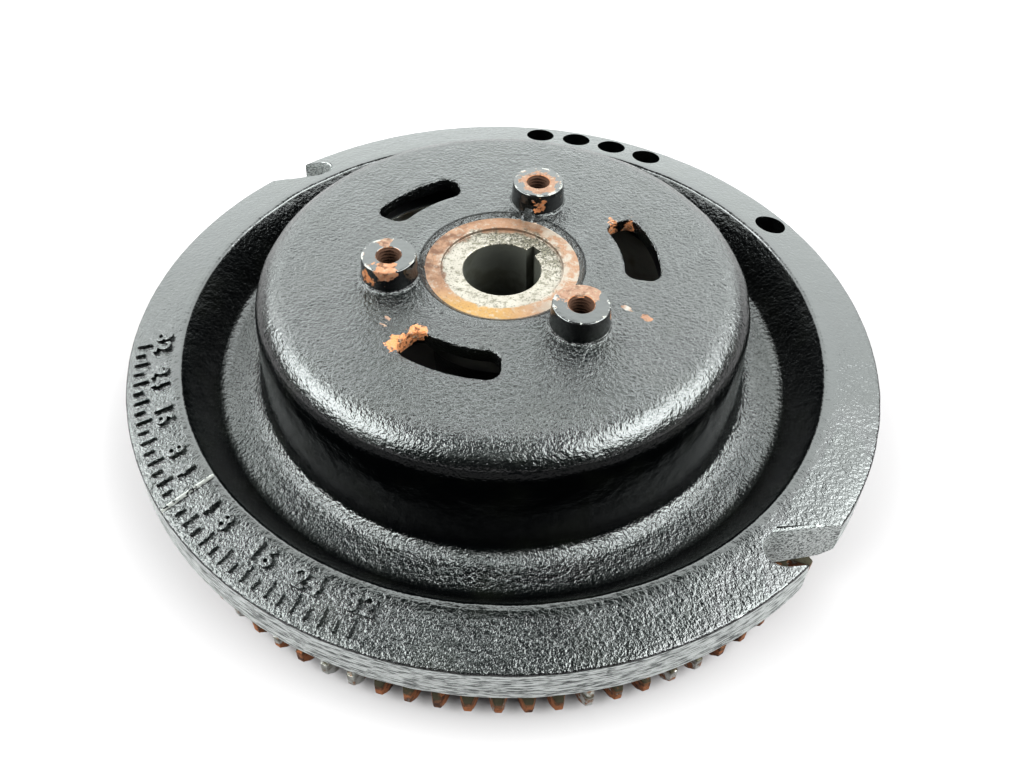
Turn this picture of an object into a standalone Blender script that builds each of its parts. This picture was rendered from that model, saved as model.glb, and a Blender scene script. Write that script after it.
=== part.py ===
# Flywheel of an outboard engine: a painted iron casting with a starter ring gear shrunk on under
# its flange, and charging and trigger magnets inside its cup. Metres, +Z up, at rest on its rim.
# The origin is where the spin axis meets the rest face.

import math

import bmesh
import bpy
from mathutils import Matrix

GAP = 0.0003  # between two pieces that touch
TURNS = 64  # facets round the casting and its large rings
SMALL_TURNS = 16  # facets round bosses, screws and drilled holes

# Casting, from the axis outwards
BORE_R = 0.0128  # straight land at the mouth of the tapered bore
BORE_LAND_H = 0.0043
BORE_TAPER = 0.1  # growth of diameter per length, downwards
BORE_CHAMFER = 0.0006
KEYWAY_W = 0.004
KEYWAY_DEPTH = 0.0026
KEYWAY_ANGLE = math.radians(41.5)
WASHER_SEAT_W = 0.007  # bright ring round the bore
WASHER_SEAT_DROP = 0.0026  # below the disc
HUB_FACE_W = 0.0052  # ring round the washer seat
HUB_FACE_DROP = 0.0014
RECESS_WALL_W = 0.0019  # sloping wall from the hub face up to the disc
HUB_WALL = 0.0117  # from bore to the hub's outside, under the disc
HUB_DRAFT = 0.0022  # how much the hub's radius shrinks to its foot
HUB_FILLET = 0.004
HUB_TOE_H = 0.008  # lower end of the hub, with half of its draft
HUB_LIFT = 0.007  # hub's foot above the rest face
DISC_T = 0.0055
CUP_R = 0.0803
CUP_WALL = 0.0067  # at the magnets
CUP_STEP = 0.0031  # shoulder over the magnets
CUP_CORNER_R = 0.0097
CUP_INNER_CORNER_R = 0.006
CUP_DRAFT = math.radians(3)
CUP_H = 0.0258  # disc's top above the flange's edge
SKIRT_W = 0.003  # skirt outside the cup's foot
SKIRT_LIFT = 0.007
GROOVE_W = 0.0255  # cup to lip
GROOVE_DEPTH = 0.014
GROOVE_INNER_FILLET = 0.006
GROOVE_OUTER_FILLET = 0.005
GROOVE_LEAN = math.radians(33)  # outer wall of the groove, from upright
WEB_T = 0.008  # iron under the groove
LIP_W = 0.0025
LIP_ROUND = 0.0015
FLANGE_W = 0.0182
FLANGE_SLOPE = 0.15  # rise per length of its top, inwards
FLANGE_EDGE_R = 0.001
FLANGE_SIDE_H = 0.0118
FLANGE_SIDE_FLARE = 0.0004
FLANGE_BEVEL = 0.0026
FLANGE_T = 0.0165
RIM_T = 0.008
RIM_CHAMFER = 0.001
RIM_DRAFT = 0.001  # how much thicker the rim is where it meets the web
WEB_FILLET = 0.003
SKIRT_FILLET = 0.002
RIM_BELOW_GEAR = 0.0026
SHOULDER_W = 0.0035  # what the ring gear sits against
SHOULDER_FILLET = 0.0015

# Puller bosses, slots, notches and balance holes
BOSS_COUNT = 3
BOSS_CLEARANCE = 0.0007  # hub recess to boss
BOSS_FIRST_ANGLE = math.radians(70.7)
BOSS_R = 0.0087
BOSS_H = 0.0079
BOSS_DRAFT = 0.0005
BOSS_FOOT_FILLET = 0.0015
BOSS_EDGE = 0.0005
BOSS_THREAD_R = 0.0034  # drilled for M8
BOSS_THREAD_CHAMFER = 0.0007
SLOT_OFFSET = 0.0091  # middle of a slot, outside the bosses' circle
SLOT_W = 0.0112
SLOT_ARC = math.radians(39)
SLOT_CORNER_R = 0.0042
NOTCH_COUNT = 2
NOTCH_W = 0.0107
NOTCH_INSET = 0.0076  # centre of its round end, in from the flange's edge
NOTCH_FIRST_ANGLE = math.radians(-48.4)
NOTCH_TURN = math.radians(57)  # from straight outwards
BALANCE_ANGLES = [math.radians(a) for a in (27.9, 59.0, 66.8, 74.5, 82.3)]
BALANCE_R = 0.0055
BALANCE_INSET = 0.0075
BALANCE_DEPTH = 0.0085
DRILL_POINT = math.radians(59)  # half the angle of a drill's tip

# Starter ring gear
GEAR_MODULE = 0.00254
GEAR_OVERHANG = 0.00335  # how far the flange stands out past the teeth
GEAR_PRESSURE_ANGLE = math.radians(20)
GEAR_DEDENDUM = 1.25  # in modules
GEAR_FIRST_TOOTH = math.radians(-89.35)
GEAR_BODY_W = 0.0079  # from bore to the roots of the teeth
GEAR_H = 0.007
GEAR_GAP = 0.0079  # flange's underside to the gear
GEAR_LEAD_IN = 0.0021
GEAR_LEAD_IN_H = 0.0023

# Charging magnets in the cup, and what holds them
MAGNET_COUNT = 6
MAGNET_T = 0.0088
MAGNET_HEADROOM = 0.015  # under the disc
SPACER_W = 0.012
LINER_T = 0.0005
RETAINER_T = 0.003
RETAINER_EDGE = 0.003  # skirt left bare outside the ring
SCREW_R = 0.002
SCREW_REACH = 0.007  # driven into the skirt
SCREW_TIP = 0.0006
SCREW_HOLE_DEPTH = 0.009
SCREW_HEAD_R = 0.0036
SCREW_HEAD_H = 0.0022
SCREW_HEAD_EDGE = 0.0007
SCREW_SOCKET_R = 0.0014
SCREW_SOCKET_DEPTH = 0.0012
SCREW_INSET = 0.0035  # its axis, in from the ring's outer edge

# Trigger ring on the hub
TRIGGER_COUNT = 2
TRIGGER_T = 0.0052
TRIGGER_H = 0.01
TRIGGER_HEADROOM = 0.005
TRIGGER_MAGNET_T = 0.0024
TRIGGER_MAGNET_H = 0.006
TRIGGER_MAGNET_ARC = math.radians(46)
TRIGGER_FIRST_ANGLE = math.radians(20)

# What follows from them
GEAR_Z = RIM_BELOW_GEAR
GEAR_TOP_Z = GEAR_Z + GEAR_H
FLANGE_Z = GEAR_TOP_Z + GEAR_GAP + FLANGE_T
DISC_Z = FLANGE_Z + CUP_H
UNDER_DISC_Z = DISC_Z - DISC_T
GROOVE_Z = FLANGE_Z - GROOVE_DEPTH
MAGNET_TOP_Z = UNDER_DISC_Z - MAGNET_HEADROOM
LIP_R = CUP_R + GROOVE_W
FLANGE_R = LIP_R + FLANGE_W
CUP_FOOT_R = CUP_R + (DISC_Z - CUP_CORNER_R - GROOVE_Z - GROOVE_INNER_FILLET) * math.tan(CUP_DRAFT)
SKIRT_R = CUP_FOOT_R + SKIRT_W
POCKET_R = CUP_R - CUP_WALL
WASHER_SEAT_R = BORE_R + WASHER_SEAT_W
HUB_FACE_R = WASHER_SEAT_R + HUB_FACE_W
HUB_R = BORE_R + HUB_WALL
BOSS_CIRCLE_R = HUB_FACE_R + RECESS_WALL_W + BOSS_CLEARANCE + BOSS_R
SLOT_MID_R = BOSS_CIRCLE_R + SLOT_OFFSET
BORE_LAND_Z = DISC_Z - WASHER_SEAT_DROP - BORE_CHAMFER - BORE_LAND_H
BORE_FOOT_R = BORE_R + (BORE_LAND_Z - HUB_LIFT) * BORE_TAPER / 2
GEAR_TIP_R = FLANGE_R - GEAR_OVERHANG
GEAR_TEETH = round(2 * GEAR_TIP_R / GEAR_MODULE) - 2
GEAR_PITCH_R = GEAR_TEETH * GEAR_MODULE / 2
GEAR_ROOT_R = GEAR_PITCH_R - GEAR_DEDENDUM * GEAR_MODULE
GEAR_BORE_R = GEAR_ROOT_R - GEAR_BODY_W
GEAR_SEAT_R = GEAR_BORE_R - GAP
MAGNET_R = POCKET_R - GAP
LINER_R = MAGNET_R - MAGNET_T - GAP
RETAINER_R = SKIRT_R - RETAINER_EDGE
RETAINER_Z = SKIRT_LIFT - GAP - RETAINER_T
SCREW_CIRCLE_R = RETAINER_R - SCREW_INSET
TRIGGER_BORE_R = HUB_R + GAP
TRIGGER_R = TRIGGER_BORE_R + TRIGGER_T
TRIGGER_TOP_Z = UNDER_DISC_Z - TRIGGER_HEADROOM
PAST = 0.002  # how far a cutter runs past a face


def clear_scene():
    for obj in list(bpy.data.objects):
        bpy.data.objects.remove(obj, do_unlink=True)


def new_collection(name, parent=None):
    made = bpy.data.collections.new(name)
    (parent or bpy.context.scene.collection).children.link(made)
    return made


def material(name, colour, roughness, metallic):
    made = bpy.data.materials.new(name)
    made.use_nodes = True
    shader = made.node_tree.nodes["Principled BSDF"]
    shader.inputs["Base Color"].default_value = (*colour, 1.0)
    shader.inputs["Roughness"].default_value = roughness
    shader.inputs["Metallic"].default_value = metallic
    return made


def placed(name, mesh, collection, finish=None):
    obj = bpy.data.objects.new(name, mesh)
    collection.objects.link(obj)
    if finish:
        mesh.materials.clear()
        mesh.materials.append(finish)
        mesh.shade_smooth()
        mesh.set_sharp_from_angle(angle=math.radians(30))
    else:
        obj.hide_render = True
        obj.display_type = "WIRE"
    return obj


def around(obj, radius, angle, z=0.0, turn=0.0):
    """Put a piece on a circle round the axis, facing outwards and turned by a further angle."""
    obj.location = (radius * math.cos(angle), radius * math.sin(angle), z)
    obj.rotation_euler = (0, 0, angle + turn)
    return obj


def arc(x, y, radius, start, end, steps):
    """Points of an arc, its start and end in degrees."""
    angles = [math.radians(start + (end - start) * i / steps) for i in range(steps + 1)]
    return [(x + radius * math.cos(a), y + radius * math.sin(a)) for a in angles]


def turned(name, profile, collection, finish=None, steps=SMALL_TURNS):
    """Turn a profile of (radius, height) round Z. One that starts on the axis ends on it too."""
    mesh = bpy.data.meshes.new(name)
    count = len(profile)
    edges = [(i, i + 1) for i in range(count - 1)]
    if profile[0][0] > 0:
        edges.append((count - 1, 0))
    mesh.from_pydata([(r, 0, z) for r, z in profile], edges, [])
    obj = placed(name, mesh, collection, finish)
    screw = obj.modifiers.new("Turn", "SCREW")
    screw.angle = math.tau
    screw.steps = steps
    screw.render_steps = steps
    screw.use_merge_vertices = True
    screw.merge_threshold = 0.00001
    screw.use_smooth_shade = True
    return obj


def cylinder(name, radius, low, high, collection, finish=None, steps=SMALL_TURNS):
    return turned(name, [(0, high), (radius, high), (radius, low), (0, low)], collection, finish, steps)


def ring(name, inner, outer, low, high, collection, finish=None, steps=TURNS):
    profile = [(inner, high), (outer, high), (outer, low), (inner, low)]
    return turned(name, profile, collection, finish, steps)


def extruded(name, outlines, low, high, collection, finish=None):
    """Extrude flat outlines upwards as one mesh. An outline inside another is a hole."""
    flat = bpy.data.curves.new(name + "_outline", "CURVE")
    flat.dimensions = "2D"
    flat.fill_mode = "BOTH"
    flat.extrude = (high - low) / 2
    for outline in outlines:
        spline = flat.splines.new("POLY")
        spline.points.add(len(outline) - 1)
        for point, (x, y) in zip(spline.points, outline):
            point.co = (x, y, 0, 1)
        spline.use_cyclic_u = True
    guide = bpy.data.objects.new(name + "_outline", flat)
    collection.objects.link(guide)
    bpy.context.view_layer.update()
    mesh = bpy.data.meshes.new_from_object(guide.evaluated_get(bpy.context.evaluated_depsgraph_get()))
    mesh.name = name
    bpy.data.objects.remove(guide, do_unlink=True)
    welded = bmesh.new()
    welded.from_mesh(mesh)
    bmesh.ops.remove_doubles(welded, verts=welded.verts, dist=0.000001)
    bmesh.ops.translate(welded, verts=welded.verts, vec=(0, 0, (low + high) / 2))
    bmesh.ops.recalc_face_normals(welded, faces=welded.faces)
    welded.to_mesh(mesh)
    welded.free()
    return placed(name, mesh, collection, finish)


def sector(inner, outer, span, steps):
    """Outline of a piece of a ring, centred on +X."""
    half = math.degrees(span) / 2
    return arc(0, 0, inner, half, -half, steps) + arc(0, 0, outer, -half, half, steps)


def boolean(obj, operation, tools):
    modifier = obj.modifiers.new(operation.title(), "BOOLEAN")
    modifier.operation = operation
    modifier.solver = "EXACT"
    modifier.operand_type = "COLLECTION"
    modifier.collection = tools


def casting_profile():
    """Half section of the casting: over its top, down the flange, and back under it to the bore."""
    lip_z = FLANGE_Z + FLANGE_SLOPE * (FLANGE_W - LIP_W)
    lean = math.degrees(GROOVE_LEAN)
    lip = arc(LIP_R + LIP_ROUND, lip_z - LIP_ROUND, LIP_ROUND, 180 - lean, 90, 2)
    fillet = GROOVE_OUTER_FILLET
    wall_foot_z = GROOVE_Z + fillet - fillet * math.sin(GROOVE_LEAN)
    wall_foot_r = lip[0][0] - (lip[0][1] - wall_foot_z) * math.tan(GROOVE_LEAN)
    groove_r = wall_foot_r - fillet * math.cos(GROOVE_LEAN)
    corner = CUP_CORNER_R
    inner_fillet = GROOVE_INNER_FILLET
    top = [(BORE_R, DISC_Z)]
    top += arc(CUP_R - corner, DISC_Z - corner, corner, 90, 0, 5)
    top += arc(CUP_FOOT_R + inner_fillet, GROOVE_Z + inner_fillet, inner_fillet, 180, 270, 3)
    top += arc(groove_r, GROOVE_Z + fillet, fillet, 270, 360 - lean, 3)
    top += lip
    top.append((LIP_R + LIP_W, lip_z))

    edge = FLANGE_EDGE_R
    side_z = FLANGE_Z - FLANGE_SIDE_H
    neck_r = GEAR_SEAT_R + SHOULDER_W
    neck_z = FLANGE_Z - FLANGE_T
    flange = arc(FLANGE_R - edge, FLANGE_Z - edge, edge, 90, 0, 2)
    flange.append((FLANGE_R + FLANGE_SIDE_FLARE, side_z))
    flange.append((FLANGE_R - FLANGE_BEVEL, side_z - FLANGE_BEVEL))
    flange += arc(neck_r + SHOULDER_FILLET, neck_z - SHOULDER_FILLET, SHOULDER_FILLET, 90, 180, 2)
    flange.append((neck_r, GEAR_TOP_Z + GAP))
    flange.append((GEAR_SEAT_R, GEAR_TOP_Z + GAP))
    flange.append((GEAR_SEAT_R, RIM_CHAMFER))
    flange.append((GEAR_SEAT_R - RIM_CHAMFER, 0))

    web_z = GROOVE_Z - WEB_T
    rim_r = GEAR_SEAT_R - RIM_T
    under = [(rim_r + RIM_CHAMFER, 0), (rim_r, RIM_CHAMFER)]
    foot_r = rim_r - RIM_DRAFT
    under += [(foot_r, web_z - WEB_FILLET), (foot_r - WEB_FILLET, web_z)]
    under += [(SKIRT_R + SKIRT_FILLET, web_z), (SKIRT_R, web_z - SKIRT_FILLET), (SKIRT_R, SKIRT_LIFT)]
    under += [(POCKET_R, SKIRT_LIFT), (POCKET_R, MAGNET_TOP_Z + GAP)]
    shoulder_r = POCKET_R - CUP_STEP
    under.append((shoulder_r, MAGNET_TOP_Z + GAP))
    inner = CUP_INNER_CORNER_R
    under += arc(shoulder_r - inner, UNDER_DISC_Z - inner, inner, 0, 90, 3)
    under += arc(HUB_R + HUB_FILLET, UNDER_DISC_Z - HUB_FILLET, HUB_FILLET, 90, 180, 2)
    under.append((HUB_R, TRIGGER_TOP_Z - TRIGGER_H))
    under.append((HUB_R - HUB_DRAFT / 2, HUB_LIFT + HUB_TOE_H))
    under.append((HUB_R - HUB_DRAFT, HUB_LIFT + BORE_CHAMFER))
    under.append((HUB_R - HUB_DRAFT - BORE_CHAMFER, HUB_LIFT))
    under.append((BORE_FOOT_R + BORE_CHAMFER, HUB_LIFT))
    under.append((BORE_FOOT_R, HUB_LIFT + BORE_CHAMFER))
    under.append((BORE_R, BORE_LAND_Z))
    return top + flange + under


def boss(number, tools):
    """Round puller boss with a flared foot that runs into the disc."""
    foot_r = BOSS_R + BOSS_DRAFT
    flare = BOSS_FOOT_FILLET
    profile = [(0, BOSS_H), (BOSS_R - BOSS_EDGE, BOSS_H), (BOSS_R, BOSS_H - BOSS_EDGE)]
    profile += arc(foot_r + flare, flare, flare, 180, 255, 3)
    profile += [(foot_r + flare, -DISC_T / 2), (0, -DISC_T / 2)]
    return turned(f"boss_{number}", profile, tools)


def boss_hole(number, tools):
    mouth = BOSS_THREAD_R + BOSS_THREAD_CHAMFER
    profile = [(0, BOSS_H + PAST), (mouth, BOSS_H + PAST), (mouth, BOSS_H)]
    profile += [(BOSS_THREAD_R, BOSS_H - BOSS_THREAD_CHAMFER), (BOSS_THREAD_R, -DISC_T - PAST)]
    profile.append((0, -DISC_T - PAST))
    return turned(f"boss_hole_{number}", profile, tools)


def boss_angles():
    return [BOSS_FIRST_ANGLE + math.tau * i / BOSS_COUNT for i in range(BOSS_COUNT)]


def hub_recess(tools):
    """Washer seat and hub face, each lower than the disc, with a sloping wall up to it."""
    seat_z = DISC_Z - WASHER_SEAT_DROP
    face_z = DISC_Z - HUB_FACE_DROP
    wall_r = HUB_FACE_R + RECESS_WALL_W
    profile = [(0, DISC_Z + PAST), (wall_r, DISC_Z + PAST), (wall_r, DISC_Z)]
    profile += [(HUB_FACE_R, face_z), (WASHER_SEAT_R, face_z), (WASHER_SEAT_R, seat_z)]
    profile += [(BORE_R + BORE_CHAMFER, seat_z), (BORE_R, seat_z - BORE_CHAMFER)]
    profile.append((0, seat_z - BORE_CHAMFER))
    return turned("hub_recess", profile, tools, steps=TURNS)


def keyway(tools):
    """Slot for the crankshaft's key, its floor parallel to the tapered wall."""
    mesh = bpy.data.meshes.new("keyway")
    shape = bmesh.new()
    bmesh.ops.create_cube(shape, size=1.0)
    length = DISC_Z - HUB_LIFT + 4 * PAST
    bmesh.ops.scale(shape, verts=shape.verts, vec=(BORE_R, KEYWAY_W, length))
    bmesh.ops.translate(shape, verts=shape.verts, vec=(-BORE_R / 2, 0, 0))
    tilt = math.atan(-BORE_TAPER / 2)
    bmesh.ops.rotate(shape, verts=shape.verts, matrix=Matrix.Rotation(-tilt, 3, "Y"))
    shape.to_mesh(mesh)
    shape.free()
    cutter = placed("keyway", mesh, tools)
    middle_z = (DISC_Z + HUB_LIFT) / 2
    floor_r = BORE_R + KEYWAY_DEPTH + (BORE_LAND_Z - middle_z) * BORE_TAPER / 2
    return around(cutter, floor_r, KEYWAY_ANGLE, middle_z)


def kidney_slot(number, tools):
    """Rounded oblong bent round the axis, cut through the disc."""
    half_length = SLOT_ARC * SLOT_MID_R / 2 - SLOT_CORNER_R
    half_width = SLOT_W / 2 - SLOT_CORNER_R
    flat = arc(half_width, half_length, SLOT_CORNER_R, 0, 90, 4)
    flat += arc(-half_width, half_length, SLOT_CORNER_R, 90, 180, 4)
    sides = 8
    flat += [(-SLOT_W / 2, half_length * (1 - 2 * i / sides)) for i in range(1, sides)]
    flat += arc(-half_width, -half_length, SLOT_CORNER_R, 180, 270, 4)
    flat += arc(half_width, -half_length, SLOT_CORNER_R, 270, 360, 4)
    flat += [(SLOT_W / 2, half_length * (2 * i / sides - 1)) for i in range(1, sides)]
    bent = []
    for across, along in flat:
        radius = SLOT_MID_R + across
        angle = along / SLOT_MID_R
        bent.append((radius * math.cos(angle), radius * math.sin(angle)))
    return extruded(f"slot_{number}", [bent], UNDER_DISC_Z - PAST, DISC_Z + PAST, tools)


def rope_notch(number, tools):
    """Slanted notch that takes the knot of a starting rope: round inside, open at the flange's edge."""
    radius = NOTCH_W / 2
    reach = NOTCH_INSET / math.cos(NOTCH_TURN) + NOTCH_W * math.tan(NOTCH_TURN)
    outline = arc(0, 0, radius, 90, 270, 8) + [(reach, -radius), (reach, radius)]
    low = FLANGE_Z - FLANGE_T - SHOULDER_FILLET - PAST
    high = FLANGE_Z + FLANGE_SLOPE * FLANGE_W + PAST
    return extruded(f"rope_notch_{number}", [outline], low, high, tools)


def balance_hole(number, tools):
    tip = BALANCE_R / math.tan(DRILL_POINT)
    high = FLANGE_SLOPE * FLANGE_W + PAST
    profile = [(0, high), (BALANCE_R, high), (BALANCE_R, -BALANCE_DEPTH), (0, -BALANCE_DEPTH - tip)]
    return turned(f"balance_hole_{number}", profile, tools)


def screw_angles():
    return [math.tau * (i + 0.5) / MAGNET_COUNT for i in range(MAGNET_COUNT)]


def screw_hole(number, tools):
    """Tapped hole in the skirt, deeper than its screw."""
    return cylinder(f"screw_hole_{number}", SCREW_R + GAP, -PAST, SCREW_HOLE_DEPTH, tools)


def flywheel_casting(parts, cuts, paint):
    casting = turned("flywheel_casting", casting_profile(), parts, paint, TURNS)
    additions = new_collection("boss_blanks", cuts)
    removals = new_collection("casting_cuts", cuts)
    for number, angle in enumerate(boss_angles(), 1):
        around(boss(number, additions), BOSS_CIRCLE_R, angle, DISC_Z)
        around(boss_hole(number, removals), BOSS_CIRCLE_R, angle, DISC_Z)
        kidney_slot(number, removals).rotation_euler.z = angle + math.pi / BOSS_COUNT
    hub_recess(removals)
    keyway(removals)
    for number in range(1, NOTCH_COUNT + 1):
        angle = NOTCH_FIRST_ANGLE + math.tau * (number - 1) / NOTCH_COUNT
        around(rope_notch(number, removals), FLANGE_R - NOTCH_INSET, angle, 0, NOTCH_TURN)
    for number, angle in enumerate(BALANCE_ANGLES, 1):
        around(balance_hole(number, removals), FLANGE_R - BALANCE_INSET, angle, FLANGE_Z)
    for number, angle in enumerate(screw_angles(), 1):
        around(screw_hole(number, removals), SCREW_CIRCLE_R, angle, SKIRT_LIFT)
    boolean(casting, "UNION", additions)
    boolean(casting, "DIFFERENCE", removals)


def involute(angle):
    return math.tan(angle) - angle


def tooth_half_angle(radius):
    """Half the angle that an involute tooth covers at a radius."""
    base_r = GEAR_PITCH_R * math.cos(GEAR_PRESSURE_ANGLE)
    at_pitch = math.pi / (2 * GEAR_TEETH) + involute(GEAR_PRESSURE_ANGLE)
    return at_pitch - involute(math.acos(min(1.0, base_r / radius)))


def ring_gear(parts, cuts, steel):
    """Toothed ring with a bevel at the lower edge, where the starter's pinion slides in."""
    pitch_angle = math.tau / GEAR_TEETH
    tip_r = GEAR_PITCH_R + GEAR_MODULE
    radii = [GEAR_ROOT_R, GEAR_PITCH_R, tip_r]
    outline = []
    for tooth in range(GEAR_TEETH):
        middle = GEAR_FIRST_TOOTH + tooth * pitch_angle
        flank = [(r, -tooth_half_angle(r)) for r in radii]
        flank += [(r, tooth_half_angle(r)) for r in reversed(radii)]
        outline += [(r * math.cos(middle + a), r * math.sin(middle + a)) for r, a in flank]
    bore = arc(0, 0, GEAR_BORE_R, 0, 360 * (TURNS - 1) / TURNS, TURNS - 1)
    gear = extruded("ring_gear", [outline, bore], GEAR_Z, GEAR_TOP_Z, parts, steel)
    tools = new_collection("gear_cuts", cuts)
    bevel_z = GEAR_Z + GEAR_LEAD_IN_H
    outside = tip_r + PAST
    slope = GEAR_LEAD_IN / GEAR_LEAD_IN_H
    profile = [(outside, bevel_z + (outside - tip_r) / slope), (outside, GEAR_Z - PAST)]
    profile.append((tip_r - GEAR_LEAD_IN - PAST * slope, GEAR_Z - PAST))
    turned("gear_lead_in", profile, tools, steps=TURNS)
    boolean(gear, "DIFFERENCE", tools)


def magnets(parts, magnet_finish, spacer_finish):
    """Charging magnets round the inside of the cup, kept apart by spacers."""
    pitch = math.tau / MAGNET_COUNT
    spacer_arc = SPACER_W / MAGNET_R
    magnet_arc = pitch - spacer_arc - 2 * GAP / (MAGNET_R - MAGNET_T)
    inner = MAGNET_R - MAGNET_T
    for number in range(1, MAGNET_COUNT + 1):
        angle = pitch * (number - 1)
        outline = sector(inner, MAGNET_R, magnet_arc, 12)
        name = f"charge_magnet_{number}"
        magnet = extruded(name, [outline], SKIRT_LIFT, MAGNET_TOP_Z, parts, magnet_finish)
        magnet.rotation_euler.z = angle
        outline = sector(inner, MAGNET_R, spacer_arc, 3)
        name = f"magnet_spacer_{number}"
        spacer = extruded(name, [outline], SKIRT_LIFT, MAGNET_TOP_Z, parts, spacer_finish)
        spacer.rotation_euler.z = angle + pitch / 2


def magnet_liner(parts, finish):
    """Thin sleeve over the inside faces of the magnets."""
    ring("magnet_liner", LINER_R - LINER_T, LINER_R, SKIRT_LIFT, MAGNET_TOP_Z, parts, finish)


def retaining_ring(parts, cuts, finish):
    top = RETAINER_Z + RETAINER_T
    plate = ring("retaining_ring", LINER_R - LINER_T, RETAINER_R, RETAINER_Z, top, parts, finish)
    tools = new_collection("retainer_cuts", cuts)
    for number, angle in enumerate(screw_angles(), 1):
        name = f"retainer_hole_{number}"
        hole = cylinder(name, SCREW_R + GAP, -PAST, RETAINER_T + PAST, tools)
        around(hole, SCREW_CIRCLE_R, angle, RETAINER_Z)
    boolean(plate, "DIFFERENCE", tools)


def retaining_screws(parts, cuts, finish):
    """Low-headed socket screws, driven upwards through the ring into the skirt."""
    shank = RETAINER_T + GAP + SCREW_REACH
    edge = SCREW_HEAD_EDGE
    profile = [(0, shank), (SCREW_R - SCREW_TIP, shank), (SCREW_R, shank - SCREW_TIP), (SCREW_R, -GAP)]
    profile += [(SCREW_HEAD_R, -GAP), (SCREW_HEAD_R, -SCREW_HEAD_H + edge)]
    profile += [(SCREW_HEAD_R - edge, -SCREW_HEAD_H), (0, -SCREW_HEAD_H)]
    for number, angle in enumerate(screw_angles(), 1):
        screw = turned(f"retaining_screw_{number}", profile, parts, finish)
        around(screw, SCREW_CIRCLE_R, angle, RETAINER_Z)
        tools = new_collection(f"screw_{number}_cuts", cuts)
        low = -SCREW_HEAD_H - PAST
        socket = cylinder(
            f"socket_{number}", SCREW_SOCKET_R, low, SCREW_SOCKET_DEPTH - SCREW_HEAD_H, tools, steps=6
        )
        around(socket, SCREW_CIRCLE_R, angle, RETAINER_Z)
        boolean(screw, "DIFFERENCE", tools)


def trigger_ring(parts, cuts, holder_finish, magnet_finish):
    """Holder round the hub, with a pocket in its outside for each trigger magnet."""
    low = TRIGGER_TOP_Z - TRIGGER_H
    holder = ring(
        "trigger_ring", TRIGGER_BORE_R, TRIGGER_R, low, TRIGGER_TOP_Z, parts, holder_finish, TURNS // 2
    )
    tools = new_collection("trigger_cuts", cuts)
    inner = TRIGGER_R - TRIGGER_MAGNET_T
    margin = (TRIGGER_H - TRIGGER_MAGNET_H) / 2
    for number in range(1, TRIGGER_COUNT + 1):
        angle = TRIGGER_FIRST_ANGLE + math.tau * (number - 1) / TRIGGER_COUNT
        span = TRIGGER_MAGNET_ARC + 2 * GAP / inner
        outline = sector(inner - GAP, TRIGGER_R + PAST, span, 8)
        bottom = low + margin - GAP
        top = TRIGGER_TOP_Z - margin + GAP
        pocket = extruded(f"trigger_pocket_{number}", [outline], bottom, top, tools)
        pocket.rotation_euler.z = angle
        outline = sector(inner, TRIGGER_R, TRIGGER_MAGNET_ARC, 8)
        name = f"trigger_magnet_{number}"
        magnet = extruded(name, [outline], bottom + GAP, top - GAP, parts, magnet_finish)
        magnet.rotation_euler.z = angle
    boolean(holder, "DIFFERENCE", tools)


def main():
    clear_scene()
    parts = new_collection("flywheel")
    cuts = new_collection("cutters")
    paint = material("black_paint", (0.028, 0.030, 0.031), 0.38, 0.0)
    steel = material("rusty_steel", (0.30, 0.20, 0.13), 0.62, 0.6)
    ferrite = material("ferrite", (0.06, 0.06, 0.055), 0.5, 0.3)
    plastic = material("black_plastic", (0.03, 0.03, 0.03), 0.6, 0.0)
    stainless = material("stainless_sleeve", (0.30, 0.30, 0.25), 0.35, 1.0)
    plated = material("plated_steel", (0.55, 0.53, 0.47), 0.35, 1.0)
    flywheel_casting(parts, cuts, paint)
    ring_gear(parts, cuts, steel)
    magnets(parts, ferrite, plastic)
    magnet_liner(parts, stainless)
    retaining_ring(parts, cuts, plated)
    retaining_screws(parts, cuts, plated)
    trigger_ring(parts, cuts, plastic, ferrite)


main()
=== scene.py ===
import math
import bmesh
import bpy
import numpy as np
from mathutils import Matrix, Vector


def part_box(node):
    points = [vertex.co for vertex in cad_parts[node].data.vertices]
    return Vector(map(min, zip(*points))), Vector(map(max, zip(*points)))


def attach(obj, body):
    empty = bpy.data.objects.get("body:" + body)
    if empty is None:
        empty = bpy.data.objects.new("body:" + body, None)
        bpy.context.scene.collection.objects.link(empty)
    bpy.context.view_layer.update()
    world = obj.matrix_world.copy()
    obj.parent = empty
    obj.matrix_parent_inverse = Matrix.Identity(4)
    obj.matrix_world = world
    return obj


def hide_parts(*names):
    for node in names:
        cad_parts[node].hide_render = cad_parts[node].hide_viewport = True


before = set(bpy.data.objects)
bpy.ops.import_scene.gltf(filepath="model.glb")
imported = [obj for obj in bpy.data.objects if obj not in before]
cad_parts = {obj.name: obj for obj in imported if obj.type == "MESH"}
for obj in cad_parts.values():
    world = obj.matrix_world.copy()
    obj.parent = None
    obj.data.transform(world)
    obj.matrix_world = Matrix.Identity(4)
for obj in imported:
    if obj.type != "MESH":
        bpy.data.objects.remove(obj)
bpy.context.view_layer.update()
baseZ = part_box("flywheel_casting")[0].z * 1000  # rest face; sizes below are in millimetres above it
mm = 0.001
tau = math.tau
print("frame loaded")


def deg(angle):
    return angle * math.pi / 180


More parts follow.
